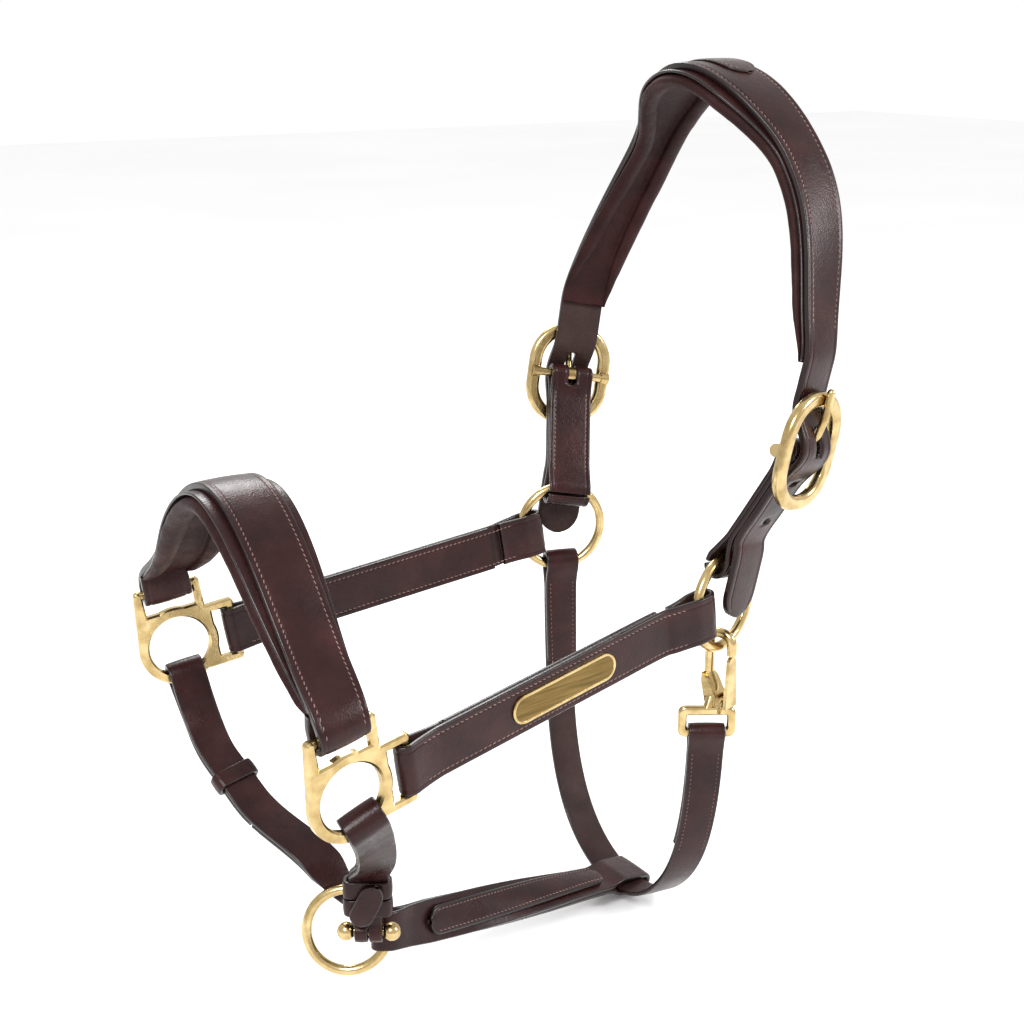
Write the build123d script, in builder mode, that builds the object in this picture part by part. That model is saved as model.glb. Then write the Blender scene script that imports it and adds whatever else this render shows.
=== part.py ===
from build123d import *
from math import acos, atan2, cos, degrees, radians, sin, sqrt
import os

# Leather headcollar. Millimetres. +X points to the back of the head, +Y to the off side, +Z up.
# The origin is on the underside of the padded crown, where it rests on the poll.
# Sided pieces are drawn on the near side (-Y) and mirrored to the off side.

# ---------------------------------------------------------------- strap stock
STRAP_WIDTH = 25.0            # crown billets, buckle straps, cheek straps and noseband ends
NARROW_WIDTH = 19.0           # throat, chin and connecting straps
PLY = 2.4                     # one thickness of folded strap leather
CROWN_PLY = 3.4               # bridle-butt leather of the crown and noseband
BACKING_PLY = 1.6
STITCHED_GAP = 0.05           # glue line between sewn layers
LOOSE_GAP = 0.4               # between leather and the metal that it folds round
SAG_ROOM = 0.9                # extra length of a fold's hole for a ring's curving wire

# ---------------------------------------------------------------- crown
CROWN_PAD_THICKNESS = 7.4
CROWN_PAD_WIDTH = 56.0        # at the poll
CROWN_EAR_WIDTH = 31.0        # lining where it is cut away behind the ears
CROWN_STRAP_WIDTH = 34.0      # top strap at the poll
CROWN_SHOULDER = (12.0, -55.0, -25.0)
CROWN_SIDE = (11.0, -74.0, -53.0)
CROWN_CHEEK = (-3.5, -95.0, -108.0)
PATCH_LENGTH = 44.0
PATCH_WIDTH = 20.0
PATCH_THICKNESS = 1.4
PATCH_SETBACK = 6.0
CROWN_STEPS = 13              # cross-sections from the poll to the buckle
CROWN_PAD_STEPS = 13          # how many of them are padded

# ---------------------------------------------------------------- buckles
BUCKLE_CENTRE = (-14.5, -99.2, -166.8)
BUCKLE_YAW = 17.0             # outer faces turn towards the back of the head
BUCKLE_RAKE = 11.5            # lean of the top, backwards
BUCKLE_LEAN = 3.5             # lean of the top, outwards
BUCKLE_WIDTH = 50.0
BUCKLE_HEIGHT = 60.0
BUCKLE_RIM = 7.6
BUCKLE_THICKNESS = 5.6
BUCKLE_CORNER = 23.0
BUCKLE_STANDOFF = 1.2         # rim's inner face, out from the bar's axis
BAR_RADIUS = 2.5
LUG_RADIUS = 3.3
LUG_LENGTH = 4.6
TONGUE_RADIUS = 2.0
TONGUE_CLEARANCE = 0.08
TONGUE_WIDTH = 4.4
TONGUE_SLOT = 5.6
TAIL_REACH = 29.0             # billet's tip, below the top of the cheek ring
TONGUE_HOLE_HEIGHT = 5.5      # middle of the billet's tongue hole, above the bar
TONGUE_HOLE_LENGTH = 15.0
BILLET_HOLE_PITCH = 22.0
BILLET_HOLE_RADIUS = 2.2

# ---------------------------------------------------------------- cheek rings and straps
RING_DROP = 87.0              # ring centre below the buckle bar, along the buckle
RING_TUCK = 21.1              # and inwards
RING_RADIUS = 24.0            # to the middle of the wire
WIRE_RADIUS = 2.6
SWING_SLACK = 1.3             # room in the buckle strap's eye for the rings to swing
CHEEK_DROP = 8.64             # fall of the cheek straps towards the nose
CHEEK_SPLAY = 6.8
CHEEK_FOLD_ROOM = 3.0         # how loosely the cheek strap folds round the ring
CHEEK_REACH = 230.4           # ring centre to the centre of the square's round hole
PLATE_LENGTH = 64.0
PLATE_WIDTH = 14.5
PLATE_THICKNESS = 1.2
PLATE_POSITION = 110.0        # from the ring centre to the plate's middle

# ---------------------------------------------------------------- halter squares
SQUARE_HOLE_RADIUS = 16.0
SQUARE_RIM = 5.4
SQUARE_THICKNESS = 5.0
SQUARE_POST = 4.4
SQUARE_TOP = 32.5             # hole centre to the noseband bar
SQUARE_BACK = 30.5            # hole centre to the cheek strap bar
SQUARE_BAR_RADIUS = 2.4
SQUARE_SLOT_HALF = 13.2       # half the clear width for a strap
NEAR_LOOP_ANGLE = -75.0       # where the chin straps hang on the round rims
OFF_LOOP_ANGLE = -90.0

# ---------------------------------------------------------------- noseband
NOSE_TOP = (-268.0, 0.0, -171.0)
NOSE_SHOULDER = (-268.0, -52.0, -199.0)
NOSE_SIDE = (-268.0, -86.0, -231.5)
NOSE_PAD_THICKNESS = 9.0
NOSE_PAD_WIDTH = 43.0
NOSE_STRAP_WIDTH = 29.0
NOSE_STEPS = 12               # cross-sections from the middle to the square
NOSE_PAD_STEPS = 11           # how many of them are padded

# ---------------------------------------------------------------- chin
CHIN_WIDTH = 19.0
CHIN_CENTRE = (-226.7, -40.0, -395.5)
CHIN_YAW = -33.0
CHIN_RING_RADIUS = 20.6
CHIN_RING_SHIFT = (-12.0, 11.5, -6.5)
CHIN_RING_TILT = 15.0         # the ring hangs with its foot forward
BOLT_RADIUS = 2.4
BOLT_BALL = 4.6
BOLT_HALF = 11.2              # bolt centre to ball centre
TAB_WIDTH = 6.6
TAB_OFFSET = 3.6              # tabs lie side by side on the bolt
NEAR_LOOP_REACH = 46.0        # from the square's rim to where the folded plies meet
OFF_LOOP_REACH = 34.0
JOIN_STEP = 0.25              # step in thickness where a fold's two plies become one strap
KNOT_TOP = 30.0               # heights above the bolt
KNOT_BOTTOM = 10.0
OFF_STRAIGHT = 44.0           # length of the off chin strap that the keeper slides on
KEEPER_PLACE = 62.0
OFF_CHIN_BOW = (-7.0, 6.0, -8.0)    # how far the off chin strap bows out at the keeper
OFF_CHIN_TURN = (-24.0, 27.0, 20.0)
KEEPER_PLY = 2.0
KEEPER_WIDTH = 9.0
KEEPER_CLEARANCE = 0.4

# ---------------------------------------------------------------- throat and connecting straps
SNAP_EYE = (-44.5, -73.0, -321.0)
SNAP_YAW = -32.0              # the snap's eye is swivelled towards the nose
THROAT_POINTS = [(-38.0, 71.5, -330.0), (-38.5, 64.0, -388.0), (-40.0, 44.0, -424.0), (-42.0, 10.0, -442.0),
                 (-42.0, -20.0, -441.0), (-40.5, -45.0, -421.0), (-40.0, -62.0, -380.0)]
CONNECTING_WIDTH = 22.0
CONNECTING_FILLER_WIDTH = 15.0
CONNECTING_FILLER_THICKNESS = 3.4
THROAT_LOOP_STEP = 18         # which of the throat strap's cross-sections the loop goes round
LOOP_WALL = 2.6
LOOP_HEIGHT = 6.4

# ---------------------------------------------------------------- snap hook
EYE_WIDTH = 30.0
EYE_BAR = 2.0                 # radius of the bar that the throat strap folds round
EYE_HEIGHT = 17.0
EYE_WIRE = 4.6
HOOK_WIRE = 2.6
HOOK_REACH = 6.6              # from the ring wire to the middle of the hook
EYE_REACH = -36.0             # top of the eye, below the ring's wire
BOSS_WIDTH = 10.0
KNUCKLE_WIDTH = 5.0
GATE_PIN_RADIUS = 1.1
GATE_PIN_CLEARANCE = 0.05
GATE_PIN_OUT = 3.0
GATE_FOOT = -30.0             # pin's height, from the ring's wire
GATE_TOP = -4.8
GATE_INNER = 5.6
GATE_THICKNESS = 2.0
GATE_FOOT_WIDTH = 10.0
GATE_TIP_WIDTH = 6.0

X, Y, Z = Vector(1, 0, 0), Vector(0, 1, 0), Vector(0, 0, 1)
os.makedirs("parts", exist_ok=True)


# ================================================================ helpers
def blend(first, second, share):
    """The direction that lies that share of the way from first to second."""
    return (first * (1 - share) + second * share).normalized()


def station(point, across, along, width):
    """One cross-section of a strap: where it is, its width direction, its run and its width."""
    square_across = across - along * across.dot(along)
    return (Vector(point), square_across.normalized(), along.normalized(), width)


def mirrored(one):
    """The same cross-section on the off side, run the other way."""
    point, across, along, width = one
    return (Vector(point.X, -point.Y, point.Z), Vector(across.X, -across.Y, across.Z),
            Vector(-along.X, along.Y, -along.Z), width)


def both_sides(near):
    """Stations from the off end, over the middle, to the near end."""
    return [mirrored(one) for one in reversed(near[1:])] + near


def band(stations, inner, outer, narrower=0.0):
    """A strap layer between two offsets from the stations' line, drawn in the open part."""
    sections = []
    for point, across, along, width in stations:
        with BuildSketch(Plane(origin=point, x_dir=across, z_dir=along)) as section:
            with Locations((0, (inner + outer) / 2)):
                Rectangle(width - narrower, outer - inner)
        sections.append(section.sketch)
    loft(sections, ruled=True)


def tapered_band(stations, thicknesses, outer):
    """A band whose thickness changes from station to station, inwards from outer."""
    sections = []
    for (point, across, along, width), thickness in zip(stations, thicknesses):
        with BuildSketch(Plane(origin=point, x_dir=across, z_dir=along)) as section:
            with Locations((0, outer - thickness / 2)):
                Rectangle(width, thickness)
        sections.append(section.sketch)
    loft(sections, ruled=True)


def run_along(line, count):
    """Points and directions at even steps along a curve."""
    return [(line @ (i / (count - 1)), line % (i / (count - 1)), i / (count - 1)) for i in range(count)]


def teardrop(big, small, reach, angle):
    """A round end that narrows to a neck, pointing at angle in degrees, in the open sketch."""
    tangent = acos((big - small) / reach)
    corners = [(big * cos(tangent), big * sin(tangent)),
               (reach + small * cos(tangent), small * sin(tangent)),
               (reach + small * cos(tangent), -small * sin(tangent)),
               (big * cos(tangent), -big * sin(tangent))]
    turn = radians(angle)
    turned = [(x * cos(turn) - y * sin(turn), x * sin(turn) + y * cos(turn)) for x, y in corners]
    Circle(big)
    Polygon(*turned, align=None)
    with Locations((reach * cos(turn), reach * sin(turn))):
        Circle(small)


def slot_between(start, end, radius, mode=Mode.SUBTRACT):
    """A round-ended slot between two sketch points."""
    middle = ((start[0] + end[0]) / 2, (start[1] + end[1]) / 2)
    length = sqrt((end[0] - start[0]) ** 2 + (end[1] - start[1]) ** 2)
    angle = degrees(atan2(end[1] - start[1], end[0] - start[0]))
    with Locations(Location((middle[0], middle[1], 0), (0, 0, angle))):
        SlotCenterToCenter(length, 2 * radius, mode=mode)


def ring_sag(radius, width):
    """How far a ring's wire curves away over the width of a strap."""
    return radius - sqrt(radius ** 2 - (width / 2) ** 2) + SAG_ROOM


def save(piece, name):
    piece.part.label = name
    export_step(piece.part, f"parts/{name}.step")


# ================================================================ directions and places
buckle_up = Vector(sin(radians(BUCKLE_RAKE)), -sin(radians(BUCKLE_LEAN)),
                   cos(radians(BUCKLE_RAKE))).normalized()
ring_out = Vector(sin(radians(BUCKLE_YAW)), -cos(radians(BUCKLE_YAW)), 0)
ring_forward = ring_out.cross(Z)
buckle_out = (ring_out - buckle_up * ring_out.dot(buckle_up)).normalized()
buckle_forward = buckle_out.cross(buckle_up)
buckle_at = Vector(*BUCKLE_CENTRE)
ring_at = buckle_at - buckle_out * RING_TUCK - buckle_up * RING_DROP

side_plane = Plane(origin=buckle_at, x_dir=buckle_out, z_dir=buckle_forward)   # sketch x out, y up
face_plane = Plane(origin=buckle_at, x_dir=-buckle_forward, z_dir=buckle_out)  # sketch x back, y up

to_buckle = buckle_at - ring_at
wire_up = (to_buckle - ring_out * to_buckle.dot(ring_out)).normalized()
wire_top = ring_at + wire_up * RING_RADIUS

cheek_run = Vector(-cos(radians(CHEEK_SPLAY)) * cos(radians(CHEEK_DROP)),
                   -sin(radians(CHEEK_SPLAY)) * cos(radians(CHEEK_DROP)), -sin(radians(CHEEK_DROP)))
cheek_flat = (cheek_run - ring_out * cheek_run.dot(ring_out)).normalized()
cheek_up = ring_out.cross(cheek_flat)
if cheek_up.Z < 0:
    cheek_up = -cheek_up
cheek_out = cheek_up.cross(cheek_run).normalized()
square_at = ring_at + cheek_run * CHEEK_REACH
square_plane = Plane(origin=square_at, x_dir=-cheek_run, z_dir=cheek_out)      # sketch x back, y up
ring_plane = Plane(origin=ring_at, x_dir=ring_forward, z_dir=ring_out)

chin_at = Vector(*CHIN_CENTRE)
chin_right = Vector(cos(radians(CHIN_YAW)), sin(radians(CHIN_YAW)), 0)
chin_away = Vector(-sin(radians(CHIN_YAW)), cos(radians(CHIN_YAW)), 0)


def beside_buckle(out, up):
    return buckle_at + buckle_out * out + buckle_up * up


def in_chin(right, away, up):
    return chin_at + chin_right * right + chin_away * away + Z * up


# ================================================================ crown
crown_top = Vector(0, 0, CROWN_PAD_THICKNESS + BACKING_PLY + STITCHED_GAP * 2)
above_buckle = beside_buckle(-3.6, BUCKLE_HEIGHT / 2 + 12)
with BuildLine() as crown_line:
    Spline(crown_top, CROWN_SHOULDER, CROWN_SIDE, CROWN_CHEEK, above_buckle,
           tangents=[(0, -1, 0), -buckle_up])
crown_edge = crown_line.line


def crown_stations(poll_width, ear_width, end_width):
    """Near half of a crown layer, from the poll down to the buckle."""
    found = []
    for point, along, t in run_along(crown_edge, CROWN_STEPS):
        poll_share = max(0.0, 1 - t / 0.45) ** 2
        end_share = max(0.0, (t - 0.55) / 0.45)
        width = ear_width + (poll_width - ear_width) * poll_share + (end_width - ear_width) * end_share
        across = blend(X, -buckle_forward, max(0.0, (t - 0.45) / 0.55))
        found.append(station(point, across, along, width))
    return found


FOLD_OUT = BAR_RADIUS + LOOSE_GAP + PLY        # outer radius of the fold round the buckle bar
billet_points = [(-3.6, BUCKLE_HEIGHT / 2 + 1), (-2.8, BUCKLE_HEIGHT / 2 - BUCKLE_RIM - 4),
                 (FOLD_OUT + 0.3, 4.5), (FOLD_OUT + 0.3, -3.5), (-3.5, -17.5)]
strap_end = wire_top - buckle_at
strap_length = sqrt(strap_end.dot(buckle_out) ** 2 + strap_end.dot(buckle_up) ** 2)
strap_down = (strap_end.dot(buckle_out) / strap_length, strap_end.dot(buckle_up) / strap_length)
strap_side = (-strap_down[1], strap_down[0])


def beside_strap(distance, offset):
    """Side-plane point that far down the buckle strap and that far out from its middle."""
    return (strap_down[0] * distance + strap_side[0] * offset,
            strap_down[1] * distance + strap_side[1] * offset)


ring_eye_out = WIRE_RADIUS + SWING_SLACK + PLY
LINING_OUTER = -BACKING_PLY - 2 * STITCHED_GAP
billet_points += [beside_strap(34, PLY + 0.3), beside_strap(strap_length - 15, PLY + 0.3),
                  beside_strap(strap_length - 5, ring_eye_out + 1.2)]
tail_tip = (beside_strap(strap_length, ring_eye_out + 1.2)[0] + 2.0, strap_end.dot(buckle_up) - TAIL_REACH)
billet_points.append(tail_tip)


def billet_stations():
    """The billet through the buckle and down the outside of the buckle strap."""
    found = []
    path = [(-3.6, BUCKLE_HEIGHT / 2 + 12)] + billet_points
    for before, here, after in zip(path, path[1:], path[2:] + [None]):
        ahead = after if after else (2 * here[0] - before[0], 2 * here[1] - before[1])
        along = buckle_out * (ahead[0] - before[0]) + buckle_up * (ahead[1] - before[1])
        found.append(station(beside_buckle(*here), -buckle_forward, along, STRAP_WIDTH))
    return found


crown_strap_near = crown_stations(CROWN_STRAP_WIDTH, STRAP_WIDTH + 1, STRAP_WIDTH) + billet_stations()


def punch_billets(height, length, width):
    """Cuts a slot of that length and width through both billets, at that height on the buckles."""
    for side in (1, -1):
        origin = Vector(buckle_at.X, buckle_at.Y * side, buckle_at.Z)
        back = Vector(-buckle_forward.X, -buckle_forward.Y * side, -buckle_forward.Z)
        out = Vector(buckle_out.X, buckle_out.Y * side, buckle_out.Z)
        with BuildSketch(Plane(origin=origin - out * 30, x_dir=back, z_dir=out)) as punch:
            with Locations((0, height * side)):
                SlotOverall(length, width, rotation=90)
        extrude(punch.sketch, amount=60, mode=Mode.SUBTRACT)


with BuildPart() as crown_strap:
    band(both_sides(crown_strap_near), 0, CROWN_PLY)
    punch_billets(TONGUE_HOLE_HEIGHT, TONGUE_HOLE_LENGTH, TONGUE_SLOT)
    for number in (1, 2):
        punch_billets(-BILLET_HOLE_PITCH * number + 4, 2 * BILLET_HOLE_RADIUS + 0.1, 2 * BILLET_HOLE_RADIUS)
save(crown_strap, "crown_strap")

crown_lining_near = crown_stations(CROWN_PAD_WIDTH, CROWN_EAR_WIDTH, CROWN_EAR_WIDTH - 2)[:CROWN_PAD_STEPS]
with BuildPart() as crown_backing:
    band(both_sides(crown_lining_near), -BACKING_PLY - STITCHED_GAP, -STITCHED_GAP, narrower=1.0)
save(crown_backing, "crown_backing")

crown_pad = [CROWN_PAD_THICKNESS * (1 - 0.78 * (i / (CROWN_PAD_STEPS - 1)) ** 4)
             for i in range(CROWN_PAD_STEPS)]
with BuildPart() as crown_lining:
    tapered_band(both_sides(crown_lining_near), crown_pad[:0:-1] + crown_pad, LINING_OUTER)
save(crown_lining, "crown_lining")

with BuildPart() as crown_patch:
    band(both_sides(crown_strap_near[:4]), CROWN_PLY + STITCHED_GAP, CROWN_PLY + PATCH_THICKNESS)
    with BuildSketch(Plane.XY.offset(-PATCH_LENGTH)):
        with Locations((PATCH_SETBACK, 0)):
            SlotOverall(PATCH_LENGTH, PATCH_WIDTH, rotation=90)
    extrude(amount=2 * PATCH_LENGTH, mode=Mode.INTERSECT)
save(crown_patch, "crown_patch")

# ================================================================ buckles
with BuildPart() as near_buckle:
    with BuildSketch(face_plane.offset(BUCKLE_STANDOFF)):
        RectangleRounded(BUCKLE_WIDTH, BUCKLE_HEIGHT, BUCKLE_CORNER)
        RectangleRounded(BUCKLE_WIDTH - 2 * BUCKLE_RIM, BUCKLE_HEIGHT - 2 * BUCKLE_RIM,
                         BUCKLE_CORNER - BUCKLE_RIM, mode=Mode.SUBTRACT)
    extrude(amount=BUCKLE_THICKNESS)
    fillet(near_buckle.edges(), BUCKLE_THICKNESS * 0.42)
    lug_x = BUCKLE_WIDTH / 2 - BUCKLE_RIM / 2
    with BuildSketch(side_plane.offset(-lug_x)):
        Circle(BAR_RADIUS)
    extrude(amount=2 * lug_x)
    for end in (-1, 1):
        with BuildSketch(side_plane.offset(end * lug_x - LUG_LENGTH / 2)):
            Circle(LUG_RADIUS)
        extrude(amount=LUG_LENGTH)

tongue_rest = BUCKLE_STANDOFF + BUCKLE_THICKNESS + TONGUE_RADIUS + 0.05
tongue_root = BAR_RADIUS + TONGUE_CLEARANCE
with BuildPart() as near_tongue:
    with BuildSketch(side_plane.offset(-TONGUE_WIDTH / 2)):
        Circle(tongue_root + 2.0)
    extrude(amount=TONGUE_WIDTH)
    with BuildLine() as tongue_line:
        FilletPolyline(beside_buckle(tongue_root + 0.4, 1.0), beside_buckle(tongue_rest - 1.6, 9.0),
                       beside_buckle(tongue_rest, 17.0), beside_buckle(tongue_rest, BUCKLE_HEIGHT / 2 + 0.5),
                       radius=5)
    with BuildSketch(Plane(origin=tongue_line.line @ 0, z_dir=tongue_line.line % 0)):
        Circle(TONGUE_RADIUS)
    sweep(path=tongue_line.line)
    with Locations(Location(tongue_line.line @ 1)):
        Sphere(TONGUE_RADIUS)
    with BuildSketch(side_plane.offset(-TONGUE_WIDTH)):
        Circle(tongue_root)
    extrude(amount=2 * TONGUE_WIDTH, mode=Mode.SUBTRACT)

# ================================================================ buckle straps
ring_eye = WIRE_RADIUS + SWING_SLACK
inward = (-wire_up.dot(buckle_out), -wire_up.dot(buckle_up))
sag = ring_sag(RING_RADIUS, STRAP_WIDTH)
eye_at = beside_strap(strap_length, 0)
eye_end = (eye_at[0] + inward[0] * sag, eye_at[1] + inward[1] * sag)
strap_angle = degrees(atan2(strap_down[1], strap_down[0]))
with BuildPart() as near_buckle_strap:
    with BuildSketch(side_plane.offset(-STRAP_WIDTH / 2)):
        teardrop(FOLD_OUT, PLY, 14, strap_angle)
        slot_between((0, 0), eye_at, PLY, mode=Mode.ADD)
        slot_between(eye_at, eye_end, ring_eye + PLY, mode=Mode.ADD)
        Circle(BAR_RADIUS + LOOSE_GAP, mode=Mode.SUBTRACT)
        slot_between(eye_at, eye_end, ring_eye)
    extrude(amount=STRAP_WIDTH)
    with BuildSketch(side_plane.offset(-TONGUE_SLOT / 2)):
        with Locations((0, 0.5)):
            Rectangle(2 * FOLD_OUT + 2, 2 * FOLD_OUT + 1)
    extrude(amount=TONGUE_SLOT, mode=Mode.SUBTRACT)

# ================================================================ cheek rings
with BuildPart() as near_ring:
    with Locations(ring_plane.location):
        Torus(RING_RADIUS, WIRE_RADIUS)

# ================================================================ cheek straps
# The strap's own plane has x along the run from the ring and y outwards; it is extruded up its width.
cheek_plane = Plane(origin=ring_at, x_dir=cheek_run, z_dir=cheek_up)
cheek_end = CHEEK_REACH - SQUARE_BACK
cheek_eye = WIRE_RADIUS + LOOSE_GAP
bar_eye = SQUARE_BAR_RADIUS + LOOSE_GAP
seam = STITCHED_GAP / 2
wire_front = cheek_flat * RING_RADIUS
front = (wire_front.dot(cheek_run), wire_front.dot(cheek_plane.y_dir))
cheek_sag = sag + CHEEK_FOLD_ROOM
front_end = (front[0] - cheek_flat.dot(cheek_run) * cheek_sag,
             front[1] - cheek_flat.dot(cheek_plane.y_dir) * cheek_sag)
FOLD_TAPER = 20.0
with BuildPart() as near_cheek_strap:
    with BuildSketch(cheek_plane.offset(-STRAP_WIDTH / 2)):
        slot_between(front, front_end, cheek_eye + PLY, mode=Mode.ADD)
        Polygon((front[0], front[1] + cheek_eye + PLY), (front[0], front[1] - cheek_eye - PLY),
                (front[0] + FOLD_TAPER, -PLY), (front[0] + FOLD_TAPER, PLY), align=None)
        with Locations(((front[0] + cheek_end) / 2, PLY / 2 + seam)):
            Rectangle(cheek_end - front[0], PLY)
        with Locations((cheek_end, 0)):
            Circle(bar_eye + PLY)
        Polygon((cheek_end, bar_eye + PLY), (cheek_end, -bar_eye - PLY),
                (cheek_end - FOLD_TAPER, -PLY), (cheek_end - FOLD_TAPER, PLY), align=None)
        slot_between(front, front_end, cheek_eye)
        with Locations((cheek_end, 0)):
            Circle(bar_eye, mode=Mode.SUBTRACT)
    extrude(amount=STRAP_WIDTH)

lining_start = front[0] + FOLD_TAPER + STITCHED_GAP
lining_length = cheek_end - FOLD_TAPER - STITCHED_GAP - lining_start
with BuildPart() as near_cheek_lining:
    with BuildSketch(cheek_plane.offset(-STRAP_WIDTH / 2)):
        with Locations((lining_start + lining_length / 2, -PLY / 2 - seam)):
            Rectangle(lining_length, PLY)
    extrude(amount=STRAP_WIDTH)

plate_plane = Plane(origin=ring_at + cheek_run * PLATE_POSITION + cheek_out * (PLY + 2 * seam),
                    x_dir=-cheek_run, z_dir=cheek_out)
with BuildPart() as nameplate:
    with BuildSketch(plate_plane):
        SlotOverall(PLATE_LENGTH, PLATE_WIDTH)
    extrude(amount=PLATE_THICKNESS)
    chamfer(nameplate.edges().group_by(Axis(plate_plane.origin, cheek_out))[-1], 0.4)
save(nameplate, "nameplate")

# ================================================================ halter squares
post_x = SQUARE_SLOT_HALF + SQUARE_POST / 2
with BuildPart() as near_square:
    with BuildSketch(square_plane.offset(-SQUARE_THICKNESS / 2)):
        Circle(SQUARE_HOLE_RADIUS + SQUARE_RIM)
        for side in (-1, 1):
            slot_between((side * post_x, 6), (side * post_x, SQUARE_TOP), SQUARE_POST / 2, mode=Mode.ADD)
            slot_between((6, side * post_x), (SQUARE_BACK, side * post_x), SQUARE_POST / 2, mode=Mode.ADD)
        Polygon((-post_x - SQUARE_POST / 2, SQUARE_TOP), (-SQUARE_HOLE_RADIUS - SQUARE_RIM, 0), (0, 0),
                (-SQUARE_SLOT_HALF, SQUARE_HOLE_RADIUS + SQUARE_POST), (-SQUARE_SLOT_HALF, SQUARE_TOP),
                align=None)
        with Locations((0, SQUARE_HOLE_RADIUS + SQUARE_POST / 2)):
            Rectangle(2 * post_x, SQUARE_POST)
        with Locations((SQUARE_HOLE_RADIUS + SQUARE_POST / 2, 0)):
            Rectangle(SQUARE_POST, 2 * post_x)
        Circle(SQUARE_HOLE_RADIUS, mode=Mode.SUBTRACT)
    extrude(amount=SQUARE_THICKNESS)
    chamfer(near_square.edges().filter_by(lambda edge: abs((edge % 0.5).dot(cheek_out)) < 0.5), 1.0)
    with BuildSketch(Plane(origin=square_plane.from_local_coords((-post_x, SQUARE_TOP, 0)),
                           z_dir=square_plane.x_dir)):
        Circle(SQUARE_BAR_RADIUS)
    extrude(amount=2 * post_x)
    with BuildSketch(Plane(origin=square_plane.from_local_coords((SQUARE_BACK, -post_x, 0)),
                           z_dir=square_plane.y_dir)):
        Circle(SQUARE_BAR_RADIUS)
    extrude(amount=2 * post_x)

# ================================================================ noseband
nose_bar = Vector(*square_plane.from_local_coords((0, SQUARE_TOP, 0)))
nose_end = nose_bar + cheek_out * bar_eye
with BuildLine() as nose_line:
    Spline(NOSE_TOP, NOSE_SHOULDER, NOSE_SIDE, nose_end, tangents=[(0, -1, 0), -square_plane.y_dir])


def nose_stations(middle_width):
    """Near half of a noseband layer."""
    found = []
    for point, along, t in run_along(nose_line.line, NOSE_STEPS):
        width = STRAP_WIDTH + (middle_width - STRAP_WIDTH) * (1 - t ** 2)
        found.append(station(point, blend(X, square_plane.x_dir, t), along, width))
    return found


with BuildPart() as noseband_strap:
    band(both_sides(nose_stations(NOSE_STRAP_WIDTH)), 0, CROWN_PLY)
    for side in (1, -1):
        centre = Vector(nose_bar.X, nose_bar.Y * side, nose_bar.Z)
        axis = Vector(square_plane.x_dir.X, square_plane.x_dir.Y * side, square_plane.x_dir.Z)
        with BuildSketch(Plane(origin=centre - axis * STRAP_WIDTH / 2, z_dir=axis)):
            Circle(bar_eye + CROWN_PLY)
        extrude(amount=STRAP_WIDTH)
        with BuildSketch(Plane(origin=centre - axis * STRAP_WIDTH, z_dir=axis)):
            Circle(bar_eye)
        extrude(amount=2 * STRAP_WIDTH, mode=Mode.SUBTRACT)
save(noseband_strap, "noseband_strap")

nose_inner = nose_stations(NOSE_PAD_WIDTH)[:NOSE_PAD_STEPS]
with BuildPart() as noseband_backing:
    band(both_sides(nose_inner), -BACKING_PLY - STITCHED_GAP, -STITCHED_GAP, narrower=1.0)
save(noseband_backing, "noseband_backing")

nose_pad = [NOSE_PAD_THICKNESS * (1 - 0.72 * (i / (NOSE_PAD_STEPS - 1)) ** 3) for i in range(NOSE_PAD_STEPS)]
with BuildPart() as noseband_lining:
    tapered_band(both_sides(nose_inner), nose_pad[:0:-1] + nose_pad, LINING_OUTER)
save(noseband_lining, "noseband_lining")

# ================================================================ chin ring and bolt
chin_ring_at = in_chin(*CHIN_RING_SHIFT)
chin_ring_up = Z * cos(radians(CHIN_RING_TILT)) + chin_away * sin(radians(CHIN_RING_TILT))
with BuildPart() as chin_ring:
    chin_ring_plane = Plane(origin=chin_ring_at, x_dir=chin_right, z_dir=chin_ring_up.cross(chin_right))
    with Locations(chin_ring_plane.location):
        Torus(CHIN_RING_RADIUS, WIRE_RADIUS)
save(chin_ring, "chin_ring")

with BuildPart() as halter_bolt:
    with BuildSketch(Plane(origin=in_chin(-BOLT_HALF, 0, 0), z_dir=chin_right)):
        Circle(BOLT_RADIUS)
    extrude(amount=2 * BOLT_HALF)
    with Locations(Location(in_chin(-BOLT_HALF, 0, 0)), Location(in_chin(BOLT_HALF, 0, 0))):
        Sphere(BOLT_BALL)
save(halter_bolt, "halter_bolt")

# ================================================================ chin straps
rim_radius = SQUARE_HOLE_RADIUS + SQUARE_RIM / 2


def on_rim(angle, side):
    """A place on a square's rim, the strap's width direction there and the way to the hole's centre."""
    turn = radians(angle)
    at = Vector(*square_plane.from_local_coords((rim_radius * cos(turn), rim_radius * sin(turn), 0)))
    return [Vector(v.X, v.Y * side, v.Z) for v in (at, square_plane.x_dir, (square_at - at).normalized())]


near_rim, near_flat, near_inward = on_rim(NEAR_LOOP_ANGLE, 1)
off_rim, off_flat, off_inward = on_rim(OFF_LOOP_ANGLE, -1)
rim_eye = sqrt(SQUARE_THICKNESS ** 2 + SQUARE_RIM ** 2) / 2 + 3 * LOOSE_GAP
rim_sag = ring_sag(rim_radius, CHIN_WIDTH)
tab_eye = BOLT_RADIUS + LOOSE_GAP


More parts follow.
